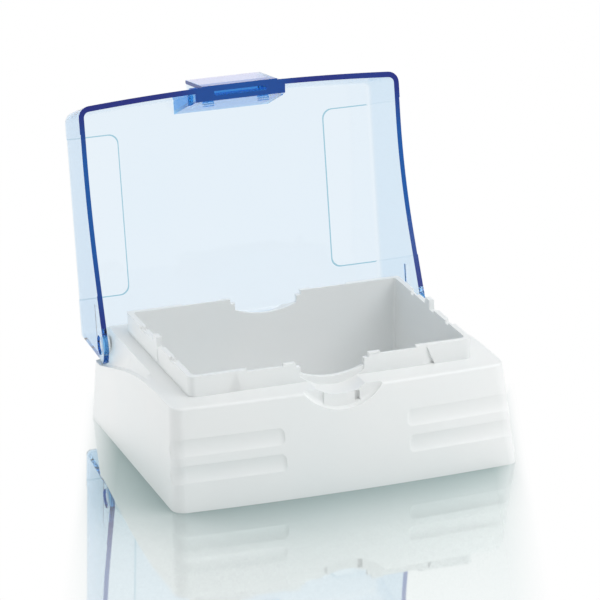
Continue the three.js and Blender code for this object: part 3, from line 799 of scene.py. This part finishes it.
def below_rim():
    line = rim_line(0)
    straight = next(i for i, (y, z) in enumerate(line) if y > HINGE_Y - EAR_RADIUS)
    (y0, z0), (y1, z1) = line[straight - 1 : straight + 1]
    ear_start = HINGE_Y - EAR_RADIUS
    line.insert(straight, (ear_start, z0 + (z1 - z0) * (ear_start - y0) / (y1 - y0)))
    for angle in quarter_turn(steps=9)[1:]:
        line.append((HINGE_Y + EAR_RADIUS * math.sin(angle), HINGE_Z - EAR_RADIUS * math.cos(angle)))
    low = LID_FOOT - 5 * OVERLAP
    outline = [*line, (BEYOND, HINGE_Z), (BEYOND, low), (-BEYOND, low)]
    cutter = along_x("below_rim", outline, -PAST_SIDE, PAST_SIDE)
    return marked(cutter, RIM, lambda face: face.center.y < ear_start * MM)


# %% Grip panels
def grip_panel(side):
    def outline(inset):
        rear, front = PANEL_REAR - inset, PANEL_FRONT + inset
        points = [(PAST_SIDE, front), (PAST_SIDE, rear)]
        x = PANEL_INNER + PANEL_CORNER + inset
        for y, start in ((rear - PANEL_CORNER, 90), (front + PANEL_CORNER, 180)):
            for angle in np.radians(start + np.linspace(0, 90, PANEL_STEPS + 1)):
                points.append((x + PANEL_CORNER * math.cos(angle), y + PANEL_CORNER * math.sin(angle)))
        return points

    deep = ((LID_FOOT - 2 * OVERLAP, PANEL_SLOPE), (LID_TOP - PANEL_DEPTH, PANEL_SLOPE))
    rings = []
    for z, inset in (*deep, (LID_TOP, 0), (LID_TOP + PANEL_PROUD, 0)):
        rings.append([(side * x, y + PANEL_LEAN * (z - LID_TOP), z) for x, y in outline(inset)])
    return marked(loft("grip_panel", rings), STEP)


def grip_panels():
    skins = []
    for side in (1, -1):
        skin = marked(lid_form("skin", -SKIN_PROUD, LID_FOOT - OVERLAP), CLEAR)
        cut(skin, lid_form("skin_inside", PANEL_DEPTH, LID_FOOT - 2 * OVERLAP))
        skins.append(keep(skin, grip_panel(side)))
    return skins


# %% [markdown]
# ## Latch
#
# A finger pocket is sunk into the front of the lid. Below its floor the wall is doubled into a small
# housing, and an upright thumb plate with a web at each end stands before the pocket.
# %% Latch
POCKET_HALF_WIDTH = 18.8
POCKET_WALL = 1.8
POCKET_LEAN = 0.293
HOUSING_HALF_WIDTH = 19.4
HOUSING_DEPTH = 6.0
HOUSING_TOP = 49.2
SLOT_HALF_WIDTH = 11.2
SLOT_WIDTH = 1.9
SLOT_WALL = 2.0
THUMB_TOP = 63.8
THUMB_HALF_WIDTH = 16.2
THUMB_THICKNESS = 1.6
THUMB_PROUD = 0.3
THUMB_EDGE = 0.5
WEB_DROP = 4.5
WEB_STEPS = 16
END_FACE = 0.9  # least share of a face's normal along X, for a face at the end of a run
HOOK = (11.9, 2.3, 0.6, 2.6)  # place, half width, depth, height


def pocket_rear_at(z):
    return RIM_Y + HOUSING_DEPTH + POCKET_LEAN * (z - RIM_Z)


def pocket_space(grow):
    bottom = HOUSING_TOP - grow
    back = grow - POCKET_WALL
    outline = [
        (-BEYOND, bottom),
        (pocket_rear_at(bottom) + back, bottom),
        (pocket_rear_at(LID_TOP) + back, LID_TOP),
        (pocket_rear_at(LID_TOP) + back, BEYOND),
        (-BEYOND, BEYOND),
    ]
    return marked(along_x("pocket", outline, -POCKET_HALF_WIDTH - grow, POCKET_HALF_WIDTH + grow), LATCH)


def latch_housing():
    front = RIM_Y + LID_WALL / 2
    low = RIM_Z - OVERLAP
    outline = [
        (front, low),
        (pocket_rear_at(low), low),
        (pocket_rear_at(HOUSING_TOP), HOUSING_TOP),
        (front, HOUSING_TOP),
    ]
    return marked(along_x("housing", outline, -HOUSING_HALF_WIDTH, HOUSING_HALF_WIDTH), LATCH)


def latch_slot():
    rear = pocket_rear_at(RIM_Z) - SLOT_WALL
    top = HOUSING_TOP - SLOT_WALL
    slot = block("slot", -SLOT_HALF_WIDTH, SLOT_HALF_WIDTH, rear - SLOT_WIDTH, rear, RIM_Z - LID_WALL, top)
    return marked(slot, LATCH_SLOT)


def thumb_plate():
    front = RIM_Y - THUMB_PROUD
    back = front + THUMB_THICKNESS
    low = RIM_Z - OVERLAP
    section = [
        (front, low),
        (back, low),
        (back, THUMB_TOP - THUMB_EDGE),
        (back - THUMB_EDGE, THUMB_TOP),
        (front + THUMB_EDGE, THUMB_TOP),
        (front, THUMB_TOP - THUMB_EDGE),
    ]
    plate = marked(along_x("thumb_plate", section, -THUMB_HALF_WIDTH, THUMB_HALF_WIDTH), PLATE)
    marked(plate, RIM, lambda face: abs(face.normal.x) > END_FACE)
    web_rear = pocket_rear_at(THUMB_TOP - WEB_DROP) - POCKET_WALL / 2
    web = [(front + THUMB_EDGE, RIM_Z), (pocket_rear_at(HOUSING_TOP) - POCKET_WALL, HOUSING_TOP - OVERLAP)]
    for share in np.linspace(0, 1, WEB_STEPS + 1):
        y = web_rear + (front + THUMB_EDGE - web_rear) * share
        web.append((y, THUMB_TOP - WEB_DROP * (1 - share) ** 2))
    inner = THUMB_HALF_WIDTH - THUMB_THICKNESS
    return join(plate, *both_sides(lambda a, b: along_x("web", web, a, b), inner, THUMB_HALF_WIDTH))


def latch_hooks():
    place, half, depth, height = HOOK
    rear = pocket_rear_at(HOUSING_TOP)
    size = (rear - POCKET_WALL / 2, rear + depth, HOUSING_TOP - height, HOUSING_TOP)
    return mirrored_blocks("hook", place - half, place + half, *size)


# %% Put the lid together, shut
def make_lid():
    lid = marked(lid_form("lid_shell", 0, LID_FOOT), CLEAR)
    cut(lid, lid_form("lid_inside", LID_WALL, LID_FOOT - OVERLAP))
    join(lid, keep(pocket_space(POCKET_WALL), lid_form("lid_limit", 0, RIM_Z)))
    cut(lid, pocket_space(0))
    join(lid, latch_housing(), thumb_plate(), *latch_hooks())
    cut(lid, latch_slot())
    inside = INSET_X + EAR_SIDE_GAP
    opening = (HINGE_Y - 2 * EAR_RADIUS, BEYOND, -BEYOND, REAR_WALL_FOOT)
    cut(lid, block("rear_opening", -inside, inside, *opening))
    cut(lid, below_rim())
    holes = both_sides(lambda a, b: hinge_round("ear_hole", EAR_HOLE / 2, a, b), INSET_X, PAST_SIDE)
    cut(lid, *[marked(hole, LATCH) for hole in holes])
    cut(lid, *grip_panels())
    return lid


lid = make_lid()
print("lid before its edges are eased:", len(lid.data.polygons), "faces")
print("marked faces:", np.bincount([face.material_index for face in lid.data.polygons]))


# %% [markdown]
# ## Eased edges
#
# No moulding has a perfectly sharp edge, and a small round is what catches the light. One width for
# every edge would fold the mesh over itself where two edges run close together, or shrink every
# round to nothing. So each edge gets a weight by the room beside it.
# %% Room beside an edge
def weld(mesh, distance):
    work = bmesh.new()
    work.from_mesh(mesh)
    bmesh.ops.remove_doubles(work, verts=work.verts, dist=distance * MM)
    bmesh.ops.dissolve_degenerate(work, edges=work.edges, dist=distance * MM)
    work.to_mesh(mesh)
    work.free()


def room_beside(edge):
    """How far an edge's two faces reach across it, at its ends."""
    along = (edge.verts[1].co - edge.verts[0].co).normalized()
    room = math.inf
    for loop in edge.link_loops:
        after = loop.link_loop_next
        for near, far in ((loop.vert, loop.link_loop_prev.vert), (after.vert, after.link_loop_next.vert)):
            room = min(room, (far.co - near.co).cross(along).length)
    return room


# %% [markdown]
# ## Weights, and places that stay sharp
#
# After a trial round the mesh is searched for faces that run through each other. The edges near such a
# place stay sharp, and the round is cut again from the untouched mesh until no more faces cross than in
# that mesh itself, where a few thin triangles beside a slanted facet graze each other.
# %% Weights for the rounds
EDGE_ANGLE = math.radians(30)
ROOM_SHARE = 0.4
LEAST_WEIGHT = 0.3
SHARP_REACH = 0.6
EASE_ROUNDS = 8
ROUND_SEGMENTS = 2
LAST_WELD = 0.001
SMOOTH_ANGLE = math.radians(38)


def weigh_edges(mesh, width, sharp_places):
    work = bmesh.new()
    work.from_mesh(mesh)
    layers = work.edges.layers.float
    weights = layers.get("bevel_weight_edge") or layers.new("bevel_weight_edge")
    for edge in work.edges:
        ends = [corner.co for corner in edge.verts]
        points = (*ends, (ends[0] + ends[1]) / 2)
        free = all((point - place).length > SHARP_REACH * MM for place in sharp_places for point in points)
        weight = 0.0
        if free and edge.calc_face_angle() > EDGE_ANGLE:
            weight = min(1.0, ROOM_SHARE * room_beside(edge) / (width * MM))
        edge[weights] = weight if weight >= LEAST_WEIGHT else 0.0
    work.to_mesh(mesh)
    work.free()


def crossings(mesh):
    """Corners of faces that run through each other without a corner in common."""
    work = bmesh.new()
    work.from_mesh(mesh)
    bmesh.ops.triangulate(work, faces=work.faces)
    work.faces.ensure_lookup_table()
    tree = BVHTree.FromBMesh(work)
    places = []
    for first, second in tree.overlap(tree):
        one, other = work.faces[first], work.faces[second]
        if first < second and not set(one.verts) & set(other.verts):
            places += [corner.co.copy() for corner in (*one.verts, *other.verts)]
    work.free()
    return places


# %% Ease the edges
def ease_edges(obj, width, nearest):
    weld(obj.data, nearest)
    untouched = obj.data.copy()
    before = len(crossings(untouched))
    sharp_places = []
    for attempt in range(EASE_ROUNDS):
        weigh_edges(untouched, width, sharp_places)
        obj.data = untouched.copy()
        bevel = obj.modifiers.new("ease", "BEVEL")
        bevel.width = width * MM
        bevel.segments = ROUND_SEGMENTS
        bevel.limit_method = "WEIGHT"
        bevel.use_clamp_overlap = False
        bevel.miter_outer = "MITER_ARC"
        settle(obj)
        found = crossings(obj.data)
        print(obj.name, "round", attempt, "has", len(found), "corners of crossing faces,", before, "before")
        if len(found) <= before:
            break
        sharp_places += found
    bpy.data.meshes.remove(untouched)
    weld(obj.data, LAST_WELD)


def smooth_rounds(obj):
    obj.data.shade_smooth()
    obj.data.set_sharp_from_angle(angle=SMOOTH_ANGLE)
    flat_faces = obj.modifiers.new("flat_faces", "WEIGHTED_NORMAL")
    flat_faces.mode = "FACE_AREA"
    flat_faces.weight = 100  # large flat faces decide, so a round's shading ends at its own edge
    flat_faces.keep_sharp = True
    settle(obj)


BASE_ROUND = (0.3, 0.02)  # width of its rounds, and the weld that comes first
LID_ROUND = (0.11, 0.002)
for piece, sizes in ((base, BASE_ROUND), (lid, LID_ROUND)):
    ease_edges(piece, *sizes)
    smooth_rounds(piece)
print("faces:", len(base.data.polygons), len(lid.data.polygons))

# %% [markdown]
# ## Opening the lid
#
# The lid stands open on its stop, and that is how the solid model rests. The turn is written into the
# mesh and not into the object, because a finished piece keeps its object at the origin.
# %% Open the lid
hinge_point = Vector((0, HINGE_Y * MM, HINGE_Z * MM))
swing = Matrix.Translation(hinge_point) @ Matrix.Rotation(-math.radians(OPEN_ANGLE), 4, "X")
lid.data.transform(swing @ Matrix.Translation(-hinge_point))
lid.data.update()
print("lid opened by", OPEN_ANGLE, "degrees")


# %% [markdown]
# ## Moulded surfaces
#
# Both mouldings leave their tools with the same kind of skin: very fine grain, slow waves where the
# plastic cooled unevenly, and a little gloss lost here and there from handling. One node group makes
# these three as values, and each material then uses them in its own strength.
# %% Helpers for finishes
def new_group(name, inputs, outputs):
    group = bpy.data.node_groups.new(name, "ShaderNodeTree")
    for label, kind, value in inputs:
        socket = group.interface.new_socket(label, in_out="INPUT", socket_type=kind)
        socket.default_value = value
    for label, kind in outputs:
        group.interface.new_socket(label, in_out="OUTPUT", socket_type=kind)
    return group, group.nodes.new("NodeGroupInput").outputs, group.nodes.new("NodeGroupOutput")


def noise(tree, place, scale, detail, roughness=0.5):
    node = new_node(tree, "ShaderNodeTexNoise", Vector=place, Scale=scale, Detail=detail)
    return fill_in(tree, node, Roughness=roughness).outputs["Fac"]


def spread(tree, value, low, high, to_low=0.0, to_high=1.0):
    """Stretches the range from low to high over another one, and stops at its ends."""
    ends = {"From Min": low, "From Max": high, "To Min": to_low, "To Max": to_high}
    return new_node(tree, "ShaderNodeMapRange", Value=value, **ends).outputs["Result"]


def blend_colour(tree, share, first, second, blend="MIX"):
    node = tree.nodes.new("ShaderNodeMix")
    node.data_type = "RGBA"
    node.blend_type = blend
    fill(tree, node.inputs["Factor"], share)
    for label, colour in (("A", first), ("B", second)):
        fill(tree, node.inputs[label], colour if hasattr(colour, "links") else (*colour, 1))
    return node.outputs["Result"]


def mixed(tree, share, first, second):
    """Two shaders, mixed: the first where share is 0, the second where it is 1."""
    node = new_node(tree, "ShaderNodeMixShader", Fac=share)
    tree.links.new(first.outputs[0], node.inputs[1])
    tree.links.new(second.outputs[0], node.inputs[2])
    return node


# %% Node group for a moulded skin
def moulded_skin_group():
    group, given, out = new_group(
        "moulded_skin",
        [
            ("Grain Scale", "NodeSocketFloat", 2600.0),
            ("Wave Scale", "NodeSocketFloat", 22.0),
            ("Least Roughness", "NodeSocketFloat", 0.3),
            ("Most Roughness", "NodeSocketFloat", 0.42),
            ("Wave Height", "NodeSocketFloat", 0.25),
        ],
        [("Cooling", "NodeSocketFloat"), ("Roughness", "NodeSocketFloat"), ("Height", "NodeSocketFloat")],
    )
    place = group.nodes.new("ShaderNodeTexCoord").outputs["Object"]
    waves = noise(group, place, given["Wave Scale"], detail=2.0)
    grain = noise(group, place, given["Grain Scale"], detail=1.0)
    handling = noise(group, place, scale=95.0, detail=5.0, roughness=0.62)
    roughness = spread(group, handling, 0.35, 0.72, given["Least Roughness"], given["Most Roughness"])
    height = in_tree(group, "MULTIPLY_ADD", waves, given["Wave Height"], grain)
    fill_in(group, out, Cooling=spread(group, waves, 0.3, 0.7), Roughness=roughness, Height=height)
    return group


moulded_skin = moulded_skin_group()
print("moulded skin group:", len(moulded_skin.nodes), "nodes")


# %% Material with a moulded skin
def moulded_material(name, skin, cool_or_unlit, warm_or_lit, bump_strength, bump_distance):
    """cool_or_unlit and warm_or_lit are the colours that the slow waves blend."""
    material = bpy.data.materials.new(name)
    material.use_nodes = True
    tree = material.node_tree
    group = tree.nodes.new("ShaderNodeGroup")
    group.node_tree = moulded_skin
    for label, value in skin.items():
        group.inputs[label].default_value = value
    bump = new_node(tree, "ShaderNodeBump", Strength=bump_strength, Distance=bump_distance)
    shader = tree.nodes["Principled BSDF"]
    fill(tree, bump.inputs["Height"], group.outputs["Height"])
    fill(tree, shader.inputs["Base Color"], blend_colour(tree, group.outputs["Cooling"], cool_or_unlit, warm_or_lit))
    fill(tree, shader.inputs["Roughness"], group.outputs["Roughness"])
    fill(tree, shader.inputs["Normal"], bump.outputs["Normal"])
    return material, tree, shader


# %% [markdown]
# ## White polypropylene
#
# Polypropylene is a slightly milky white with a satin surface. The base colour stays below pure white,
# so that the edges still catch the light. A little subsurface scattering lets the thin seat glow.
# %% White polypropylene
PLASTIC_IOR = 1.49
white, tree, shader = moulded_material(
    "white_polypropylene",
    skin={"Least Roughness": 0.3, "Most Roughness": 0.42},
    cool_or_unlit=(0.835, 0.86, 0.86),
    warm_or_lit=(0.86, 0.87, 0.865),
    bump_strength=0.12,
    bump_distance=0.00004,
)
fill_in(tree, shader, IOR=PLASTIC_IOR, Specular_IOR_Level=0.5)
fill_in(tree, shader, Subsurface_Weight=0.12, Subsurface_Radius=(1.0, 1.0, 1.0), Subsurface_Scale=0.0015)
print("white polypropylene:", len(tree.nodes), "nodes")

# %% [markdown]
# ## Clear blue plastic
#
# A tinted clear sheet is pale when you look through it and deep when you look along it. Painting its
# edges blue would fix one view only. Volume absorption gives both from one number per colour: light
# that crosses two millimetres loses little, and light that runs along the wall comes out navy. The
# plastic itself bends light more, but a thin sheet hardly shifts what stands behind it. So the body
# has a low index of refraction, which keeps its corners clear of streaks, and a coat with the true
# index gives the gloss. Lamps have to reach what stands behind the lid, so shadow rays meet a
# transparent shader of the pale tint.
# %% Clear blue plastic
blue, tree, shader = moulded_material(
    "clear_blue_plastic",
    skin={"Least Roughness": 0.012, "Most Roughness": 0.045, "Wave Height": 1.0},
    cool_or_unlit=(0.97, 0.985, 1.0),
    warm_or_lit=(0.985, 0.99, 1.0),
    bump_strength=0.06,
    bump_distance=0.00002,
)
fill_in(tree, shader, Transmission_Weight=1.0, IOR=1.12)
fill_in(tree, shader, Coat_Weight=0.5, Coat_Roughness=0.03, Coat_IOR=PLASTIC_IOR)
skin_colour = shader.inputs["Base Color"].links[0].from_socket
tint = tree.nodes.new("ShaderNodeAttribute")
tint.attribute_name = "tint"
tinted = blend_colour(tree, 1.0, skin_colour, tint.outputs["Color"], blend="MULTIPLY")
fill_in(tree, shader, Base_Color=tinted)
absorption = new_node(tree, "ShaderNodeVolumeAbsorption", Color=(0.02, 0.455, 0.767, 1), Density=95.0)
pale_shadow = new_node(tree, "ShaderNodeBsdfTransparent", Color=(0.8, 0.9, 0.96, 1))
shadow_ray = tree.nodes.new("ShaderNodeLightPath").outputs["Is Shadow Ray"]
through = mixed(tree, shadow_ray, shader, pale_shadow)
output = tree.nodes["Material Output"]
fill_in(tree, output, Surface=through.outputs[0], Volume=absorption.outputs["Volume"])
print("clear blue plastic:", len(tree.nodes), "nodes")

# %% [markdown]
# ## Deep blue rim
#
# The lid's rim is the end of the wall, so all the light that ran along the wall leaves there. It looks
# solid navy, with a brighter blue where the wall behind it is lit: half way up the sides and at the
# latch. The rim's faces get an opaque finish of their own that paints this light in: the two blues are
# blended by height, navy as painted shade and the brighter blue as painted light. A small glow in the
# same colours stands for the light from the wall, a painted glow.
# %% Deep blue rim
rim_blue, tree, shader = moulded_material(
    "deep_blue_rim",
    skin={"Wave Scale": 26.0, "Least Roughness": 0.1, "Most Roughness": 0.2},
    cool_or_unlit=(0.012, 0.014, 0.16),
    warm_or_lit=(0.004, 0.075, 0.3),
    bump_strength=0.05,
    bump_distance=0.00002,
)
rim_colour = shader.inputs["Base Color"].links[0].from_socket
fill_in(tree, shader, IOR=PLASTIC_IOR, Specular_IOR_Level=0.25)
fill_in(tree, shader, Emission_Color=rim_colour, Emission_Strength=0.2)

# %% Where the rim is lit
RISING = (0.045, 0.075)  # heights between which the brighter blue comes in, in metres
FALLING = (0.1, 0.122)  # and goes again
LATCH_EDGE = (0.018, 0.026)  # distance from the middle at which the latch's blue ends
PATCHES = 0.45  # share of the slow waves in the blend
LATCH_SHARE = 0.5  # of the brighter blue at the latch
place = tree.nodes.new("ShaderNodeTexCoord").outputs["Object"]
where = new_node(tree, "ShaderNodeSeparateXYZ", Vector=place).outputs
rising = spread(tree, where["Z"], *RISING)
falling = spread(tree, where["Z"], *FALLING, 1.0, 0.0)
lit_latch = spread(tree, in_tree(tree, "ABSOLUTE", where["X"]), *LATCH_EDGE, LATCH_SHARE, 0.0)
# painted light: where this share is 1 the rim takes the brighter blue
lit = in_tree(tree, "MAXIMUM", in_tree(tree, "MULTIPLY", rising, falling), lit_latch)
two_blues = rim_colour.node.inputs["Factor"]
share = in_tree(tree, "MULTIPLY_ADD", two_blues.links[0].from_socket, PATCHES, lit)
share.node.use_clamp = True
fill(tree, two_blues, share)
print("rim blends its two blues with", len(tree.nodes), "nodes")

# %% [markdown]
# ## Light that comes in by the rim
#
# An opaque rim would make the end of the wall dark for a ray that runs along inside it, and the box's
# long edges would turn black. The real rim lets daylight in. So the back of the rim's faces, which only
# rays inside the plastic can meet, glows in a pale blue.
# %% Daylight inside the rim
daylight = new_node(tree, "ShaderNodeEmission", Color=(0.6, 0.8, 1.0, 1), Strength=0.6)
inside = tree.nodes.new("ShaderNodeNewGeometry").outputs["Backfacing"]
rim_surface = mixed(tree, inside, shader, daylight)
fill_in(tree, tree.nodes["Material Output"], Surface=rim_surface.outputs[0])
print("deep blue rim:", len(tree.nodes), "nodes")

# %% [markdown]
# ## Finishes on the pieces
#
# The slots that marked the lid's faces now become colours. A tint is stored at each face corner, and
# the clear plastic multiplies its own colour by it, so the latch and the panel outlines are deeper
# without a second glass. Two glasses in one wall would leave rays that enter by one and never leave.
# On the thumb plate the tint is a violet that stands for a sheen: a painted reflection.
# %% Put the pieces on their bodies
TINTS = {
    CLEAR: (1, 1, 1, 1),
    RIM: (1, 1, 1, 1),
    STEP: (0.2, 0.45, 0.55, 1),
    LATCH: (0.07, 0.36, 0.82, 1),
    LATCH_SLOT: (0.04, 0.18, 0.55, 1),
    # violet sheen on the thumb plate: a painted reflection
    PLATE: (0.8, 0.72, 0.95, 1),
}
marks = [face.material_index for face in lid.data.polygons]
tints = lid.data.attributes.new("tint", "FLOAT_COLOR", "CORNER")
for face, mark in zip(lid.data.polygons, marks):
    for corner in face.loop_indices:
        tints.data[corner].color = TINTS[mark]
FINISHES = {
    "base": (base, "white_polypropylene", [white]),
    "lid": (lid, "clear_blue_plastic", [blue, rim_blue]),
}
for body, (piece, slot, finishes) in FINISHES.items():
    piece.data.materials.clear()
    for finish in finishes:
        piece.data.materials.append(finish)
    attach(piece, body)
    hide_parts(body)
    print(piece.name, "rides on", body, "in", slot)
for face, mark in zip(lid.data.polygons, marks):
    face.material_index = 1 if mark == RIM else 0

# %% [markdown]
# ## Camera
#
# A long lens far away keeps the box's edges nearly parallel, as in a catalogue view. The camera is
# turned a little about its own axis too, so its place is written as a matrix of its three directions.
# %% Camera
AZIMUTH_DEGREES = -18.96
AZIMUTH, ELEVATION, ROLL = (math.radians(angle) for angle in (AZIMUTH_DEGREES, 19.28, -1.17))
DISTANCE = 1.5041
TARGET = Vector((0.00027, -0.00025, 0.05997))
level = math.cos(ELEVATION)
back = Vector((math.sin(AZIMUTH) * level, -math.cos(AZIMUTH) * level, math.sin(ELEVATION)))
level_right = Vector((0, 0, 1)).cross(back).normalized()
level_up = back.cross(level_right)
right = math.cos(ROLL) * level_right + math.sin(ROLL) * level_up
up = math.cos(ROLL) * level_up - math.sin(ROLL) * level_right
camera_data = bpy.data.cameras.new("camera")
camera_data.sensor_width = 36
camera_data.lens = 225.3
camera_data.clip_start = 0.05
camera_data.clip_end = 20
camera = bpy.data.objects.new("camera", camera_data)
stand = Matrix((right, up, back)).transposed().to_4x4()
stand.translation = TARGET + DISTANCE * back
camera.matrix_world = stand
bpy.context.scene.collection.objects.link(camera)
bpy.context.scene.camera = camera
print("camera at", [round(v, 3) for v in camera.matrix_world.translation])

# %% [markdown]
# ## Table and studio
#
# The box stands on a white glass table that mirrors it. Beside the box a quarter of the table's light
# is a diffuse white that keeps the shadow, and the rest is a mirror. Far from the box the table is a
# plain white, but only for rays that look at it, so the backdrop adds no light to the object.
# %% Table top
REACH = 4.0
floor_mesh = bpy.data.meshes.new("table")
corners = [(-REACH, -REACH, 0), (REACH, -REACH, 0), (REACH, REACH, 0), (-REACH, REACH, 0)]
floor_mesh.from_pydata(corners, [], [(0, 1, 2, 3)])
floor = bpy.data.objects.new("table", floor_mesh)
bpy.context.scene.collection.objects.link(floor)
table = bpy.data.materials.new("white_glass_table")
table.use_nodes = True
tree = table.node_tree
tree.nodes.clear()
print("table is", floor.dimensions.x, "m wide")


# %% Rays that look at a surface
def seen_rays(tree):
    """1 for rays that look at a surface, straight, in a mirror or through glass."""
    ray = tree.nodes.new("ShaderNodeLightPath").outputs
    straight_or_mirrored = in_tree(tree, "MAXIMUM", ray["Is Camera Ray"], ray["Is Glossy Ray"])
    return in_tree(tree, "MAXIMUM", straight_or_mirrored, ray["Is Transmission Ray"])


# %% [markdown]
# ## Shade beside the box
#
# A box on a white table leaves a soft shade where it hides the sky, and here the shade lies in front of
# it, between its two sides. Ambient occlusion measures how much of the sky a point on the table sees.
# Three masks end the shade to the left, to the right and behind. They are measured in the table's
# own coordinates, turned to run along and across the view, so they stay put when the lid moves. Where
# nothing hides the sky the mirror image fades too, into the white that surrounds it.
# %% Masks on the table
RIGHT_EDGE = (0.076, 0.09)  # from where the shade starts to end to where it has ended, in metres
LEFT_EDGE = (-0.074, -0.09)
REAR_EDGE = (0.01, 0.06)
SHADE_REACH = 0.5  # how far a point on the table looks for what hides the sky, in metres
SHADE_SAMPLES = 16
place = tree.nodes.new("ShaderNodeTexCoord").outputs["Object"]
along_view = (0, 0, -math.radians(AZIMUTH_DEGREES))
strip = new_node(tree, "ShaderNodeMapping", Vector=place, Rotation=along_view).outputs["Vector"]
across = new_node(tree, "ShaderNodeSeparateXYZ", Vector=strip).outputs
past_left, past_right = (spread(tree, across["X"], *edge) for edge in (LEFT_EDGE, RIGHT_EDGE))
behind = spread(tree, across["Y"], *REAR_EDGE)
outside = in_tree(tree, "MAXIMUM", in_tree(tree, "MAXIMUM", past_left, past_right), behind)
hollow = new_node(tree, "ShaderNodeAmbientOcclusion", Distance=SHADE_REACH)
hollow.samples = SHADE_SAMPLES
openness = in_tree(tree, "MAXIMUM", outside, spread(tree, hollow.outputs["AO"], low=0.5, high=1.0))
print("table so far:", len(tree.nodes), "nodes")

# %% Diffuse white and mirror
MIRROR_SHARE = (0.75, 1.0)  # beside the box and outside its shade
UNSHADED_POWER = 3.2  # how soon the mirror darkens as the sky is hidden
BLACK, DULL_WHITE, WHITE = (0, 0, 0), (0.97, 0.97, 0.97), (1, 1, 1)
SHADED_MIRROR = (0.54, 0.65, 0.645)
OPEN_MIRROR = (0.93, 0.985, 0.975)
# where the table sees less sky its diffuse white is painted darker, down to black: painted shade
diffuse = new_node(tree, "ShaderNodeBsdfDiffuse", Color=blend_colour(tree, openness, BLACK, DULL_WHITE))
# the mirror image is painted darker in the same places: painted shade on the reflection
unshaded = in_tree(tree, "POWER", openness, UNSHADED_POWER)
shaded = blend_colour(tree, unshaded, SHADED_MIRROR, OPEN_MIRROR)
mirror_colour = blend_colour(tree, outside, shaded, WHITE)
mirror = new_node(tree, "ShaderNodeBsdfAnisotropic", Color=mirror_colour, Roughness=0.03)
half_mirror = mixed(tree, spread(tree, outside, 0.0, 1.0, *MIRROR_SHARE), diffuse, mirror)
print("table with its mirror:", len(tree.nodes), "nodes")

# %% Plain white far from the box
FAR = (0.26, 0.55)  # distances at which the plain white comes in and is all there is, in metres
FADE_SHARE = (0.25, 0.6)  # beside the box and outside its shade
FADE_POWER = 8.0
glow = new_node(tree, "ShaderNodeEmission", Strength=1.0)
away = new_node(tree, "ShaderNodeVectorMath")
away.operation = "LENGTH"
fill(tree, away.inputs[0], place)
seen = seen_rays(tree)
far = in_tree(tree, "MULTIPLY", spread(tree, away.outputs["Value"], *FAR), seen)
fading = in_tree(tree, "MULTIPLY", in_tree(tree, "POWER", openness, FADE_POWER), seen)
faded = in_tree(tree, "MULTIPLY", fading, spread(tree, outside, 0.0, 1.0, *FADE_SHARE))
surface = mixed(tree, far, mixed(tree, faded, half_mirror, glow), glow)
new_node(tree, "ShaderNodeOutputMaterial", Surface=surface.outputs[0])
floor.data.materials.append(table)
print("table material:", len(tree.nodes), "nodes")

# %% [markdown]
# ## Light
#
# The sky is white to the eye and in mirrors, and weaker as a light, so a pale box keeps its shades. A
# lamp at the front right gives the front its slope of tone, one above lights the deck, and a low card
# lights the left side from below the height of the deck, so that the seat behind it stays darker.
# %% World: an even white to the eye, and a softer light on the object
WORLD_LIGHT = 0.57
world = bpy.data.worlds.new("studio")
bpy.context.scene.world = world
world.use_nodes = True
tree = world.node_tree
tree.nodes.clear()
light_on_box = new_node(tree, "ShaderNodeBackground", Color=(0.97, 0.99, 1.0, 1), Strength=WORLD_LIGHT)
to_the_eye = new_node(tree, "ShaderNodeBackground", Color=(1, 1, 1, 1))
sky = mixed(tree, seen_rays(tree), light_on_box, to_the_eye)
new_node(tree, "ShaderNodeOutputWorld", Surface=sky.outputs[0])
print("sky as a light:", WORLD_LIGHT)


# %% Soft lights
def soft_light(name, location, size, power):
    data = bpy.data.lights.new(name, "AREA")
    data.shape = "RECTANGLE"
    data.size, data.size_y = size
    data.energy = power
    lamp = bpy.data.objects.new(name, data)
    lamp.location = location
    lamp.rotation_euler = (Vector((0, 0, 0.04)) - Vector(location)).to_track_quat("-Z", "Y").to_euler()
    lamp.visible_camera = False
    lamp.visible_transmission = False
    bpy.context.scene.collection.objects.link(lamp)
    return lamp


soft_light("key_light", (0.38, -0.38, 0.5), (0.4, 0.4), 1.4)
soft_light("top_light", (0.05, -0.12, 0.8), (0.5, 0.5), 1.25)
low_card = soft_light("low_card", (-0.32, 0.2, 0.025), (0.5, 0.045), 0.42)
low_card.visible_glossy = False
print("three soft lights")
bpy.context.scene.view_settings.view_transform = "Standard"

# %% Bounces
BOUNCES = 32  # a ray that runs along inside the lid's wall meets its faces many times
cycles = bpy.context.scene.cycles
cycles.max_bounces = cycles.glossy_bounces = cycles.transmission_bounces = BOUNCES
print("bounces:", BOUNCES)
